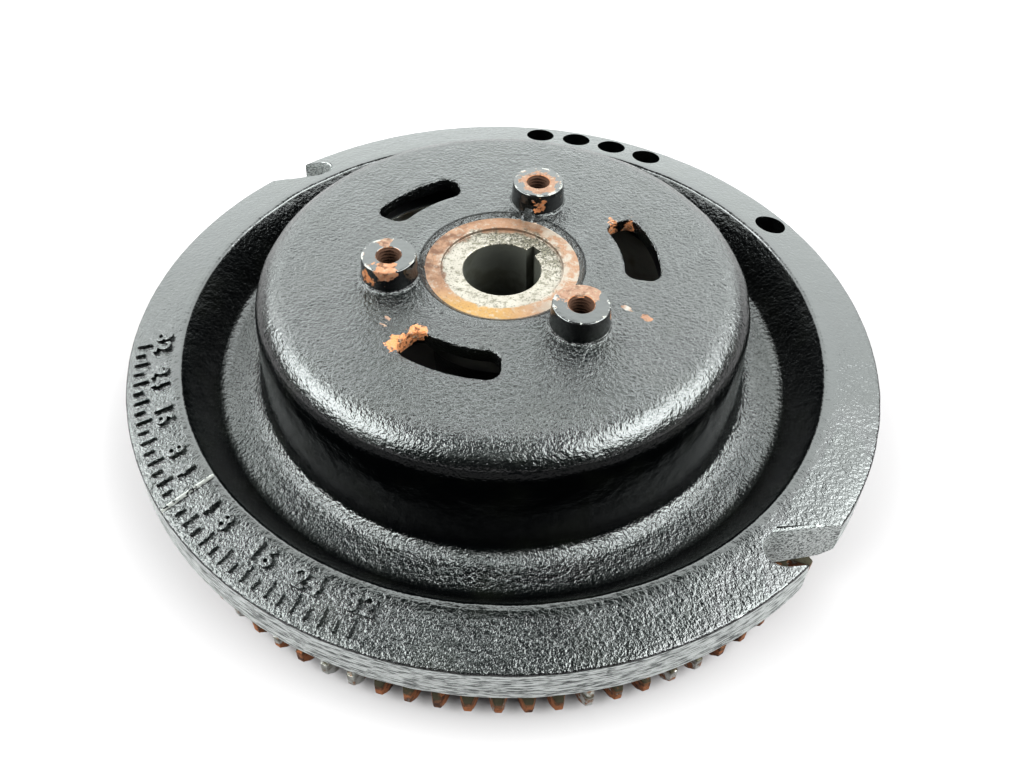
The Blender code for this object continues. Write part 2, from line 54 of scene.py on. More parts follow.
def meshFrom(name, points, faces, closePoles=False):
    # points in millimetres, faces as rows of vertex numbers; a negative volume means they face inwards
    mesh = bpy.data.meshes.new(name)
    points = np.asarray(points, float).reshape(-1, 3)
    faces = np.asarray(faces, int)
    a, b, c = (points[faces[:, i]] for i in (0, 1, 2))
    volume = np.einsum("ij,ij->i", a, np.cross(b, c)).sum()
    if faces.shape[1] == 4:
        d = points[faces[:, 3]]
        volume += np.einsum("ij,ij->i", a, np.cross(c, d)).sum()
    if volume < 0:
        faces = faces[:, ::-1]
    mesh.from_pydata((points * mm).tolist(), [], faces.tolist())
    if closePoles:
        welded = bmesh.new()
        welded.from_mesh(mesh)
        bmesh.ops.remove_doubles(welded, verts=welded.verts, dist=1e-7)
        bmesh.ops.recalc_face_normals(welded, faces=welded.faces)
        welded.to_mesh(mesh)
        welded.free()
    mesh.update()
    return mesh


def gridFaces(rows, columns, wrapRows=False):
    # each point joined to its right and lower neighbours; the last column, and if asked the last row,
    # joins the first
    i = np.arange(rows if wrapRows else rows - 1)[:, None]
    j = np.arange(columns)[None, :]
    down, right = (i + 1) % rows, (j + 1) % columns
    return np.stack([i * columns + j, i * columns + right, down * columns + right, down * columns + j],
                    -1).reshape(-1, 4)


def turnedPoints(section, steps):
    # every section point (radius, height) carried round Z in equal steps
    turn = np.arange(steps) * tau / steps
    radius, height = np.asarray(section, float).T
    x = radius[:, None] * np.cos(turn)
    y = radius[:, None] * np.sin(turn)
    return np.stack([x, y, np.broadcast_to(height[:, None], x.shape)], -1)


def turnedMesh(name, section, steps, ring=True, move=(0, 0, 0)):
    # a section turned round Z: closed on itself for a ring, otherwise with both its ends on the axis
    points = turnedPoints(section, steps) + np.array(move, float)
    faces = gridFaces(len(section), steps, wrapRows=ring)
    return meshFrom(name, points, faces, closePoles=not ring)


def roundedSection(corners, spacing, arcStep=12.0, closed=True):
    # straight runs between corners (radius, height, rounding);
    # each corner is swapped for an arc that touches both its runs
    corners = np.asarray(corners, float)
    count = len(corners)
    section = []
    ends = []
    for i in range(count):
        here, rounding = corners[i, :2], corners[i, 2]
        if (not closed and i in (0, count - 1)) or rounding <= 0:
            ends.append(here[None])
            continue
        before = corners[i - 1, :2] - here
        after = corners[(i + 1) % count, :2] - here
        before, after = before / np.linalg.norm(before), after / np.linalg.norm(after)
        half = math.acos(np.clip(before @ after, -1, 1)) / 2
        reach = rounding / math.tan(half)
        middle = (before + after) / np.linalg.norm(before + after)
        centre = here + middle * rounding / math.sin(half)
        first, last = here + before * reach - centre, here + after * reach - centre
        sweep = math.pi - 2 * half
        side = np.sign(first[0] * last[1] - first[1] * last[0])
        steps = max(2, math.ceil(math.degrees(sweep) / arcStep))
        turn = side * sweep * np.arange(steps + 1) / steps
        arc = np.stack([first[0] * np.cos(turn) - first[1] * np.sin(turn),
                        first[0] * np.sin(turn) + first[1] * np.cos(turn)], -1)
        ends.append(centre + arc)
    for i in range(count):
        section.append(ends[i])
        if not closed and i == count - 1:
            break
        start, stop = ends[i][-1], ends[(i + 1) % count][0]
        steps = int(np.linalg.norm(stop - start) // spacing)
        share = (np.arange(1, steps + 1) / (steps + 1))[:, None]
        section.append(start + (stop - start) * share)
    return np.concatenate(section)


def loftMesh(name, rings):
    # closed rings of equal length joined in order, the first and last filled with a fan from their middle
    rings = np.asarray(rings, float)
    count, length = rings.shape[:2]
    points = np.concatenate([rings.reshape(-1, 3), rings[:1].mean(1), rings[-1:].mean(1)])
    quads = gridFaces(count, length)
    j = np.arange(length)
    k = (j + 1) % length
    top = count * length
    first = np.stack([np.full(length, top), k, j, j], -1)
    last = np.stack([np.full(length, top + 1), top - length + j, top - length + k, top - length + k], -1)
    return meshFrom(name, points, np.concatenate([quads, first, last]), closePoles=True)


def put(name, mesh):
    obj = bpy.data.objects.new(name, mesh)
    bpy.context.scene.collection.objects.link(obj)
    return obj


def combine(base, mesh, operation):
    # Boolean with one throwaway tool mesh, its result kept as the base's mesh
    tool = put("tool", mesh)
    modifier = base.modifiers.new("cut", "BOOLEAN")
    modifier.operation = operation
    modifier.solver = "MANIFOLD"
    modifier.object = tool
    graph = bpy.context.evaluated_depsgraph_get()
    made = bpy.data.meshes.new_from_object(base.evaluated_get(graph))
    base.modifiers.clear()
    old = base.data
    base.data = made
    bpy.data.meshes.remove(old)
    bpy.data.objects.remove(tool, do_unlink=True)
    bpy.data.meshes.remove(mesh)


def finishPiece(obj, materials, slotName, *nodes, sharp=38):
    obj.data.materials.clear()
    for material in materials:
        obj.data.materials.append(material)
    obj.data.shade_smooth()
    obj.data.set_sharp_from_angle(angle=deg(sharp))
    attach(obj, "root")
    if nodes:
        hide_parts(*nodes)
    return obj


def waves(points, length, seed):
    # smooth bumps between about -1 and 1: seven sine waves in scattered directions, length in millimetres
    rng = np.random.default_rng(seed)
    way = rng.normal(size=(7, 3))
    way /= np.linalg.norm(way, axis=1)[:, None]
    phase = rng.uniform(0, tau, 7)
    stretch = rng.uniform(0.7, 1.4, 7)
    return np.sin(points @ (way * (tau / length * stretch)[:, None]).T + phase).sum(-1) / 3.5


# the iron casting: radii and heights in millimetres, angles in degrees from +X
casting = {
    "around": 264, "spacing": 3.4, "arcStep": 14.0,
    "boreR": 12.8, "boreFootR": 15.07, "boreLandZ": 52.3, "seatZ": 57.2, "seatR": 19.8,
    "faceZ": 58.4, "faceR": 25.0, "recessR": 26.9, "discZ": 59.8,
    "cupTopR": 79.8, "cornerRound": 10.0, "cupFootR": 81.9, "grooveZ": 20.0, "grooveOutR": 95.86,
    "lipR": 106.48, "lipZ": 36.36, "lipOutR": 108.3, "flangeR": 124.0, "flangeZ": 34.0,
    "flangeLowR": 124.35, "flangeLowZ": 22.2, "bevelR": 121.8, "bevelZ": 19.6, "underZ": 17.45,
    "neckR": 110.2, "gearZ": 9.9, "gearSeatR": 106.7, "rimR": 98.7, "webZ": 12.0,
    "skirtR": 84.56, "skirtZ": 7.0, "pocketR": 73.6, "shoulderZ": 39.6, "shoulderR": 70.5,
    "underDiscZ": 54.3, "hubR": 24.5, "hubFootR": 22.3,
}
bosses = {"count": 3, "circleR": 36.3, "angle": 70.7, "topR": 8.7, "footR": 9.3, "height": 7.9,
          "edge": 0.5, "flare": 1.4}
thread = {"r": 3.35, "depth": 0.62, "pitch": 1.25, "chamfer": 0.8}
slots = {"midR": 45.4, "width": 11.2, "arc": 39.0, "cornerR": 4.2, "edge": 0.9}
notches = {"width": 10.7, "inset": 7.6, "angle": -48.4, "turn": 57.0, "edge": 0.8}
balance = {"angles": (27.9, 59.0, 66.8, 74.5, 82.3), "r": 5.5, "inset": 7.5, "depth": 8.5, "edge": 0.35}
keyway = {"halfWidth": 2.0, "depth": 2.6, "angle": 41.5, "taper": 0.05, "startR": 2.0}


def castingSection(c):
    # once round the wall from the bore: over the top to the flange, then back underneath
    corners = [
        (c["boreR"], c["boreLandZ"], 0), (c["boreR"], c["seatZ"], 0.5),
        (c["seatR"], c["seatZ"], 0.25), (c["seatR"] + 0.15, c["faceZ"], 0.25),
        (c["faceR"], c["faceZ"], 0.35), (c["recessR"], c["discZ"], 1.1),
        (c["cupTopR"], c["discZ"], c["cornerRound"]), (c["cupFootR"], c["grooveZ"], 6.0),
        (c["grooveOutR"], c["grooveZ"], 5.0), (c["lipR"], c["lipZ"], 1.7),
        (c["lipOutR"], c["lipZ"], 1.5), (c["flangeR"], c["flangeZ"], 0.9),
        (c["flangeLowR"], c["flangeLowZ"], 0.8), (c["bevelR"], c["bevelZ"], 1.2),
        (c["neckR"], c["underZ"], 1.5), (c["neckR"], c["gearZ"], 0.25),
        (c["gearSeatR"], c["gearZ"], 0), (c["gearSeatR"], 0, 1.0),
        (c["rimR"], 0, 1.0), (c["rimR"] - 1, c["webZ"], 3.0),
        (c["skirtR"], c["webZ"], 2.0), (c["skirtR"], c["skirtZ"], 0.6),
        (c["pocketR"], c["skirtZ"], 0.3), (c["pocketR"], c["shoulderZ"], 0),
        (c["shoulderR"], c["shoulderZ"], 0.3), (c["shoulderR"], c["underDiscZ"], 6.0),
        (c["hubR"], c["underDiscZ"], 4.0), (c["hubR"], c["shoulderZ"], 0),
        (c["hubR"] - 1.1, c["skirtZ"] + 8, 0), (c["hubFootR"], c["skirtZ"], 0.6),
        (c["boreFootR"], c["skirtZ"], 0.6),
    ]
    return roundedSection(corners, c["spacing"], c["arcStep"])


def roughened(points, c):
    # the sand-cast skin: slow waves move the surface in and out, and machined or fitted faces stay true
    radius = np.hypot(points[..., 0], points[..., 1])
    z = points[..., 2]
    lump = 0.10 * waves(points, 17.0, 3) + 0.05 * waves(points, 6.5, 4)
    onTop = (z > c["flangeZ"] - 14) & (radius > c["recessR"] + 1.5)
    fade = np.clip((radius - c["recessR"] - 1.5) / 4, 0, 1)
    fade = fade * np.clip((c["flangeR"] - 0.5 - radius) / 3, 0, 1)
    points[..., 2] += np.where(onTop, lump * fade, 0)
    side = (radius > c["flangeR"] - 1.2) & (z > c["bevelZ"])
    inwards = np.where(side, 0.06 * (waves(points, 9.0, 5) - 1.2), 0)
    wall = (radius > c["cupTopR"] - 6) & (radius < c["cupFootR"] + 3) & (z > c["grooveZ"] + 4)
    inwards += np.where(wall, 0.09 * waves(points, 14.0, 6), 0)
    points[..., :2] *= (1 + inwards / np.maximum(radius, 1))[..., None]
    return points


def bossSection(b, z):
    # round pillar with a broken top edge and a flared foot, sunk into the disc
    foot = b["footR"] + b["flare"]
    corners = [(0, z + b["height"], 0), (b["topR"], z + b["height"], b["edge"]),
               (b["footR"], z, b["flare"]), (foot + 1.5, z - 0.35, 0), (foot, z - 2.5, 0), (0, z - 2.5, 0)]
    return roundedSection(corners, 1.2, closed=False)


def threadMesh(t, x, y, top, bottom):
    # a screw-shaped tool: radius swings between crest and root as height and turn advance together
    around, rows = 40, int((top - bottom) / t["pitch"] * 8)
    turn = np.arange(around) * tau / around
    z = np.linspace(top + 1.5, bottom - 1.5, rows)[:, None]
    along = (z / t["pitch"] - turn / tau) % 1
    radius = t["r"] + t["depth"] * (1 - np.abs(2 * along - 1))
    mouth = np.clip(z - (top - t["chamfer"]), 0, None) * 1.1
    radius = np.maximum(radius, t["r"] + np.minimum(mouth, 1.4))
    rings = np.stack([x + radius * np.cos(turn), y + radius * np.sin(turn),
                      np.broadcast_to(z, radius.shape)], -1)
    return loftMesh("thread", rings)


def flaredRings(outline, top, bottom, edge):
    # outline(grow) gives the cut's outline;
    # near each face the cut grows by a quarter circle, so its edges are rounded
    rings = []
    turn = np.linspace(deg(12), deg(90), 4)
    grow = edge * (1 - np.sin(turn))
    drop = edge * (1 - np.cos(turn))
    levels = [(grow[0] + 0.02, top + 1.0)] + list(zip(grow, top - drop))
    levels += [(g, bottom + d) for g, d in list(zip(grow, drop))[::-1]] + [(grow[0] + 0.02, bottom - 1.0)]
    for g, z in levels:
        flat = outline(g)
        rings.append(np.concatenate([flat, np.full((len(flat), 1), z)], 1))
    return np.array(rings)


def slotOutline(s, angle, grow):
    # rounded oblong in (across, along), bent round the axis at the slot's middle radius
    cornerR = s["cornerR"] + grow
    halfAcross = s["width"] / 2 + grow - cornerR
    halfAlong = deg(s["arc"]) * s["midR"] / 2 + grow - cornerR
    turn = np.linspace(0, 90, 9)
    flat = []
    for quarter, (sx, sy) in enumerate(((1, 1), (-1, 1), (-1, -1), (1, -1))):
        a = deg(turn + 90 * quarter)
        corner = [sx * halfAcross + cornerR * np.cos(a), sy * halfAlong + cornerR * np.sin(a)]
        flat.append(np.stack(corner, -1))
        if quarter in (0, 2):
            continue
        side = np.linspace(flat[-1][-1][1], -flat[-1][-1][1], 14)[1:-1]
        flat.append(np.stack([np.full(12, flat[-1][-1][0]), side], -1))
    flat = np.concatenate(flat)
    radius = s["midR"] + flat[:, 0]
    bend = flat[:, 1] / s["midR"] + deg(angle)
    return np.stack([radius * np.cos(bend), radius * np.sin(bend)], -1)


def notchOutline(n, c, angle, grow):
    # a U open at the flange's edge, its axis turned away from straight outwards
    radius = n["width"] / 2 + grow
    a = np.linspace(90, 270, 19)
    flat = np.stack([radius * np.cos(deg(a)), radius * np.sin(deg(a))], -1)
    run = np.linspace(2, 34, 9)
    flat = np.concatenate([flat, np.stack([run, np.full(9, -radius)], -1),
                           np.stack([run[::-1], np.full(9, radius)], -1)])
    turn = deg(angle + n["turn"])
    x = flat[:, 0] * math.cos(turn) - flat[:, 1] * math.sin(turn)
    y = flat[:, 0] * math.sin(turn) + flat[:, 1] * math.cos(turn)
    centre = c["flangeR"] - n["inset"]
    return np.stack([x + centre * math.cos(deg(angle)), y + centre * math.sin(deg(angle))], -1)


def balanceSection(b, z):
    # a drilling from above: chamfered mouth, straight wall and a cone at its bottom
    return [(0, z + 3), (b["r"] + b["edge"] + 0.3, z + 3), (b["r"] + b["edge"], z + 1.2), (b["r"], z + 0.6),
            (b["r"], z - b["depth"] * 0.5), (b["r"], z - b["depth"]), (0, z - b["depth"] - b["r"] * 0.6)]


def keywayMesh(k, c):
    # a box from inside the bore to beyond its wall, deeper lower down where the bore is tapered
    rows = []
    half, turn = k["halfWidth"], deg(k["angle"])
    for z in (c["seatZ"] + 2, c["skirtZ"] - 2):
        out = c["boreR"] + k["depth"] + max(0.0, (c["boreLandZ"] - z) * k["taper"])
        flat = np.array([(k["startR"], -half), (out, -half), (out, half), (k["startR"], half)])
        x = flat[:, 0] * math.cos(turn) - flat[:, 1] * math.sin(turn)
        y = flat[:, 0] * math.sin(turn) + flat[:, 1] * math.cos(turn)
        rows.append(np.stack([x, y, np.full(4, z)], -1))
    return loftMesh("keyway", rows)


def buildCasting():
    c = casting
    section = castingSection(c)
    points = roughened(turnedPoints(section, c["around"]), c)
    faces = gridFaces(len(section), c["around"], wrapRows=True)
    body = put("castingBody", meshFrom("castingBody", points, faces))
    print("casting turned:", len(body.data.polygons), "faces")
    pitch = 360 / bosses["count"]
    for i in range(bosses["count"]):
        angle = bosses["angle"] + pitch * i
        x, y = bosses["circleR"] * math.cos(deg(angle)), bosses["circleR"] * math.sin(deg(angle))
        blank = turnedMesh("boss", bossSection(bosses, c["discZ"]), 72, ring=False, move=(x, y, 0))
        combine(body, blank, "UNION")
        combine(body, threadMesh(thread, x, y, c["discZ"] + bosses["height"], c["underDiscZ"]),
                "DIFFERENCE")
        rings = flaredRings(lambda g: slotOutline(slots, angle + pitch / 2, g), c["discZ"],
                            c["underDiscZ"], slots["edge"])
        combine(body, loftMesh("slot", rings), "DIFFERENCE")
    above, face = c["discZ"] + 4, c["faceZ"] + 0.01
    corners = [(0, above, 0), (c["recessR"] + 1.4, above, 0), (c["recessR"] + 0.2, c["discZ"] + 0.15, 0),
               (c["faceR"], face, 0), (0, face, 0)]
    recess = roundedSection(corners, 3, closed=False)
    combine(body, turnedMesh("recess", recess, 180, ring=False), "DIFFERENCE")
    for i in range(2):
        angle = notches["angle"] + 180 * i
        rings = flaredRings(lambda g: notchOutline(notches, c, angle, g), c["flangeZ"] + 0.9,
                            c["underZ"], notches["edge"])
        combine(body, loftMesh("notch", rings), "DIFFERENCE")
    for angle in balance["angles"]:
        r = c["flangeR"] - balance["inset"]
        tool = turnedMesh("drill", balanceSection(balance, c["flangeZ"]), 40, ring=False,
                          move=(r * math.cos(deg(angle)), r * math.sin(deg(angle)), 0))
        combine(body, tool, "DIFFERENCE")
    combine(body, keywayMesh(keyway, c), "DIFFERENCE")
    body.data.calc_loop_triangles()
    print("casting cut:", len(body.data.loop_triangles), "triangles")
    return body


castingBody = buildCasting()


# the timing scale cast on the flange: a line at zero, then ticks both ways, with a number at some of them
scale = {
    "zeroAngle": -139.5, "zeroInR": 107.0, "zeroOutR": 123.6, "zeroWidth": 1.0,
    "ticks": 16, "step": 2.0, "outR": 121.5, "oddInR": 118.2, "evenInR": 116.5,
    "width": 0.95, "height": 1.0, "sunk": 0.8,
    "digits": (4, 8, 16, 24, 32), "digitR": 112.9, "digitHeight": 5.4, "digitStroke": 0.13,
    "digitRise": 1.1, "digitBevel": 0.14,
}


def flangeTop(radius):
    # height of the flange's upper face at a radius, straight between its corners
    c = casting
    return np.interp(radius, [c["lipR"] - 0.6, c["lipR"] + 0.6, c["lipOutR"], c["flangeR"]],
                     [c["lipZ"] - 0.6, c["lipZ"], c["lipZ"], c["flangeZ"]])


def barMesh(s, bars):
    # bars (angle, inner radius, outer radius, width):
    # a rounded ridge section is carried outwards along each, and its ends are drawn in
    angle, inner, outer, width = np.array(bars, float).T
    across = np.array([-0.5, -0.5, -0.36, -0.14, 0.14, 0.36, 0.5, 0.5])
    up = np.array([-s["sunk"], 0.0, 0.72, 1.0, 1.0, 0.72, 0.0, -s["sunk"]])
    share = np.array([0, 0.04, 0.12, 0.3, 0.5, 0.7, 0.88, 0.96, 1.0])
    swell = np.array([0.55, 0.85, 1, 1, 1, 1, 1, 0.85, 0.55])
    radius = inner[:, None, None] + (outer - inner)[:, None, None] * share[:, None]
    side = width[:, None, None] * swell[:, None] * across
    rise = np.where(up > 0, up * s["height"], up) * np.where(up > 0, swell[:, None], 1)
    radius = np.broadcast_to(radius, side.shape)
    turn = np.deg2rad(angle)[:, None, None] + side / radius
    z = flangeTop(radius) + rise
    points = np.stack([radius * np.cos(turn), radius * np.sin(turn), z], -1)
    count, rows, columns = side.shape
    quads = gridFaces(rows, columns)
    first = np.array([[0, 1, 6, 7], [1, 2, 5, 6], [2, 3, 4, 5]])
    last = first[:, ::-1] + (rows - 1) * columns
    one = np.concatenate([quads, first, last])
    faces = (one[None] + np.arange(count)[:, None, None] * rows * columns).reshape(-1, 4)
    return meshFrom("bars", points, faces, closePoles=True)


def digitMesh(s, text, angle):
    # a number set in the plane of the flange, its top towards the axis
    letters = bpy.data.curves.new("digits", "FONT")
    letters.body = text
    letters.align_x = "CENTER"
    letters.align_y = "CENTER"
    letters.size = s["digitHeight"] * 1.42  # the type size is 1.42 times the height of its figures
    letters.space_character = 1.15
    letters.offset = s["digitStroke"]
    letters.extrude = (s["sunk"] + s["digitRise"]) / 2 - s["digitBevel"]
    letters.bevel_depth = s["digitBevel"]
    letters.bevel_resolution = 1
    letters.resolution_u = 4
    guide = bpy.data.objects.new("digits", letters)
    bpy.context.scene.collection.objects.link(guide)
    bpy.context.view_layer.update()
    mesh = bpy.data.meshes.new_from_object(guide.evaluated_get(bpy.context.evaluated_depsgraph_get()))
    bpy.data.objects.remove(guide, do_unlink=True)
    lean = math.atan2(casting["lipZ"] - casting["flangeZ"], casting["flangeR"] - casting["lipOutR"])
    turn = Matrix.Rotation(deg(angle + 90), 4, "Z") @ Matrix.Rotation(lean, 4, "X")
    a, r = deg(angle), s["digitR"]
    lift = (s["digitRise"] - s["sunk"]) / 2
    place = Matrix.Translation((r * math.cos(a), r * math.sin(a), float(flangeTop(r)) + lift)) @ turn
    mesh.transform(Matrix.Scale(mm, 4) @ place)
    welded = bmesh.new()
    welded.from_mesh(mesh)
    bmesh.ops.remove_doubles(welded, verts=welded.verts, dist=2e-6)
    bmesh.ops.dissolve_degenerate(welded, edges=welded.edges, dist=1e-6)
    bmesh.ops.recalc_face_normals(welded, faces=welded.faces)
    welded.to_mesh(mesh)
    welded.free()
    return mesh


def addScale(body, s):
    bars = [(s["zeroAngle"], s["zeroInR"], s["zeroOutR"], s["zeroWidth"])]
    for i in range(1, s["ticks"] + 1):
        inner = s["oddInR"] if i % 2 else s["evenInR"]
        for side in (-1, 1):
            bars.append((s["zeroAngle"] + side * s["step"] * i, inner, s["outR"], s["width"]))
    combine(body, barMesh(s, bars), "UNION")
    for number in s["digits"]:
        for side in (-1, 1):
            combine(body, digitMesh(s, str(number), s["zeroAngle"] + side * number), "UNION")
    print("scale added:", len(body.data.polygons), "faces")


addScale(castingBody, scale)


def startMaterial(name, colour, rough, metal=0.0, **values):
    # a new material with its even values set straight on the shader
    material = bpy.data.materials.new(name)
    material.use_nodes = True
    shader = material.node_tree.nodes["Principled BSDF"]
    shader.inputs["Base Color"].default_value = (*colour, 1)
    shader.inputs["Roughness"].default_value = rough
    shader.inputs["Metallic"].default_value = metal
    for key, value in values.items():
        shader.inputs[key].default_value = value
    return material, material.node_tree, shader


def add(tree, kind, inputs, **settings):
    # one node; an input is a number, a colour or another node's output
    made = tree.nodes.new("ShaderNode" + kind)
    for key, value in settings.items():
        setattr(made, key, value)
    for key, value in inputs.items():
        if isinstance(value, bpy.types.NodeSocket):
            tree.links.new(value, made.inputs[key])
        else:
            made.inputs[key].default_value = value
    return made


def place(tree):
    return add(tree, "TexCoord", {}).outputs["Object"]


def noise(tree, scale, detail=2.0, where=None, rough=0.5):
    inputs = {"Vector": where or place(tree), "Scale": scale, "Detail": detail, "Roughness": rough}
    return add(tree, "TexNoise", inputs).outputs["Fac"]


def between(tree, value, low, high, first=0.0, last=1.0):
    # smooth step of a value from low to high
    inputs = {0: value, 1: low, 2: high, 3: first, 4: last}
    return add(tree, "MapRange", inputs, interpolation_type="SMOOTHSTEP").outputs[0]


def calc(tree, operation, a, b=0.0):
    return add(tree, "Math", {0: a, 1: b}, operation=operation).outputs[0]


def times(tree, a, b):
    return calc(tree, "MULTIPLY", a, b)


def plus(tree, a, b):
    return calc(tree, "ADD", a, b)


def tint(tree, share, first, second):
    # first colour where share is 0, second where it is 1
    colours = [c if isinstance(c, bpy.types.NodeSocket) else (*c, 1) for c in (first, second)]
    return add(tree, "Mix", {0: share, 6: colours[0], 7: colours[1]}, data_type="RGBA").outputs[2]


def painted(tree, name):
    return add(tree, "Attribute", {}, attribute_name=name).outputs["Fac"]


def bump(tree, height, distance, under=None):
    inputs = {"Height": height, "Distance": distance, "Strength": 1.0}
    if under:
        inputs["Normal"] = under
    return add(tree, "Bump", inputs).outputs["Normal"]


def aroundAxis(tree, acrossScale, alongScale):
    # coordinates that follow a turned surface: turn round the axis, distance from it, height
    parts = add(tree, "SeparateXYZ", {0: place(tree)}).outputs
    turn = calc(tree, "ARCTAN2", parts[1], parts[0])
    out = calc(tree, "POWER", plus(tree, times(tree, parts[0], parts[0]),
                                   times(tree, parts[1], parts[1])), 0.5)
    spread = {0: times(tree, turn, alongScale), 1: times(tree, out, acrossScale),
              2: times(tree, parts[2], acrossScale)}
    return add(tree, "CombineXYZ", spread).outputs[0], out, parts


def link(tree, shader, **sockets):
    for key, socket in sockets.items():
        tree.links.new(socket, shader.inputs[{"colour": "Base Color", "rough": "Roughness",
                                              "metal": "Metallic", "normal": "Normal"}[key]])


# the casting's finishes: linear colours, noise scales per metre, bump heights in metres; shadedIor dims the
# paint's reflection as painted shade
paint = {"colour": (0.0004, 0.0005, 0.0006), "dust": (0.0012, 0.0014, 0.0010),
         "ior": 1.5, "shadedIor": 1.27, "glossLow": 0.12, "glossHigh": 0.19, "bareRough": 0.78,
         "grainScale": 880, "fineScale": 2100, "grainHeight": 0.00050, "swell": 0.00025}
rust = {"scraped": (0.21, 0.21, 0.20), "salmon": (0.150, 0.090, 0.064), "orange": (0.290, 0.125, 0.058),
        "brown": (0.038, 0.019, 0.012), "pale": (0.185, 0.142, 0.106)}
hub = {"cream": (0.160, 0.145, 0.126), "grey": (0.075, 0.068, 0.052), "fleck": (0.018, 0.016, 0.011),
       "salmon": (0.125, 0.070, 0.043), "deep": (0.065, 0.032, 0.019), "yellow": (0.152, 0.088, 0.030),
       "step": 0.0199}
edge = {"light": (0.275, 0.282, 0.278), "dark": (0.030, 0.032, 0.032)}
bore = {"colour": (0.155, 0.155, 0.138), "stain": (0.08, 0.078, 0.062)}


def paintMaterial(p, r, name, ior):
    # gloss black over a sandy grain; attribute "bare" plus noise opens it to rust of the hue in "hue"
    material, tree, shader = startMaterial(name, p["colour"], 0.3, IOR=ior)
    grain, bare, hue = painted(tree, "grain"), painted(tree, "bare"), painted(tree, "hue")
    coarse = noise(tree, p["grainScale"], 2.5, rough=0.55)
    fine = noise(tree, p["fineScale"], 2.0)
    broad = noise(tree, 70, 3.0)
    crumbs = noise(tree, 420, 4.0, rough=0.65)
    edgeOf = plus(tree, bare, times(tree, calc(tree, "SUBTRACT", crumbs, 0.5), 1.3))
    bareNow = between(tree, edgeOf, 0.47, 0.53)
    rusty = tint(tree, between(tree, hue, -0.5, 0.0), r["scraped"], r["salmon"])
    rusty = tint(tree, between(tree, hue, 0.05, 0.4), rusty, r["orange"])
    rusty = tint(tree, between(tree, hue, 0.5, 1.0), rusty, r["brown"])
    pale = times(tree, between(tree, noise(tree, 900, 3.0), 0.52, 0.70), between(tree, hue, -0.8, -0.2))
    pale = times(tree, pale, between(tree, hue, 0.95, 0.7))
    rusty = tint(tree, pale, rusty, r["pale"])
    spots = between(tree, noise(tree, 520, 4.0, rough=0.7), 0.52, 0.62)
    rusty = tint(tree, times(tree, spots, between(tree, hue, -0.3, 0.4, 0.25, 0.9)), rusty, r["brown"])
    dusty = tint(tree, between(tree, broad, 0.45, 0.75), p["colour"], p["dust"])
    colour = tint(tree, bareNow, dusty, rusty)
    gloss = between(tree, broad, 0.3, 0.7, p["glossLow"], p["glossHigh"])
    rough = add(tree, "Mix", {0: bareNow, 2: gloss, 3: p["bareRough"]}, data_type="FLOAT").outputs[0]
    height = times(tree, plus(tree, coarse, times(tree, fine, 0.32)), grain)
    height = plus(tree, height, times(tree, bareNow, -0.22))
    scabs = times(tree, times(tree, crumbs, bareNow), 0.35)
    height = plus(tree, height, scabs)
    swell = bump(tree, noise(tree, 210, 2.0), p["swell"])
    metal = times(tree, bareNow, 0.85)
    link(tree, shader, colour=colour, rough=rough, metal=metal,
         normal=bump(tree, height, p["grainHeight"], swell))
    return material


def hubMaterial(h):
    # machined hub face: a speckled cream seat inside the step, and rust outside it that changes hue around
    material, tree, shader = startMaterial("hubIron", h["cream"], 0.5, 0.75)
    lines, out, parts = aroundAxis(tree, 2200, 6)
    specks, blots = noise(tree, 1500, 4.0, rough=0.75), noise(tree, 190, 5.0, rough=0.65)
    mottle = noise(tree, 620, 4.0, rough=0.7)
    turned = noise(tree, 1.0, 2.0, where=lines)
    across = plus(tree, parts[1], times(tree, parts[0], 0.6))
    upper = between(tree, across, -0.002, 0.022, 0.0, 0.10)
    inner = tint(tree, between(tree, plus(tree, mottle, upper), 0.49, 0.65), h["cream"], h["grey"])
    inner = tint(tree, between(tree, plus(tree, specks, upper), 0.57, 0.66), inner, h["fleck"])
    near = times(tree, between(tree, parts[1], -0.010, -0.021), between(tree, parts[0], 0.014, -0.004))
    left = times(tree, between(tree, parts[0], -0.004, -0.019), between(tree, parts[1], -0.012, 0.0))
    outer = tint(tree, near, h["salmon"], h["yellow"])
    outer = tint(tree, times(tree, left, between(tree, blots, 0.40, 0.60)), outer, h["deep"])
    outer = tint(tree, between(tree, mottle, 0.50, 0.70, 0.0, 0.6), outer, h["cream"])
    outer = tint(tree, between(tree, specks, 0.56, 0.68, 0.0, 0.8), outer, h["deep"])
    right = times(tree, between(tree, parts[0], 0.004, 0.020), between(tree, blots, 0.44, 0.56))
    outer = tint(tree, times(tree, right, 0.8), outer, h["cream"])
    wobble = times(tree, calc(tree, "SUBTRACT", blots, 0.5), 0.010)
    ringNow = between(tree, plus(tree, out, wobble), h["step"] - 0.0012, h["step"] + 0.0010)
    colour = tint(tree, ringNow, inner, outer)
    stepLine = times(tree, between(tree, out, h["step"] - 0.0003, h["step"]),
                    between(tree, out, h["step"] + 0.0003, h["step"]))
    colour = tint(tree, times(tree, stepLine, 0.3), colour, h["deep"])
    rough = between(tree, blots, 0.35, 0.7, 0.42, 0.68)
    height = plus(tree, turned, times(tree, specks, 0.8))
    link(tree, shader, colour=colour, rough=rough, normal=bump(tree, height, 0.00006))
    return material


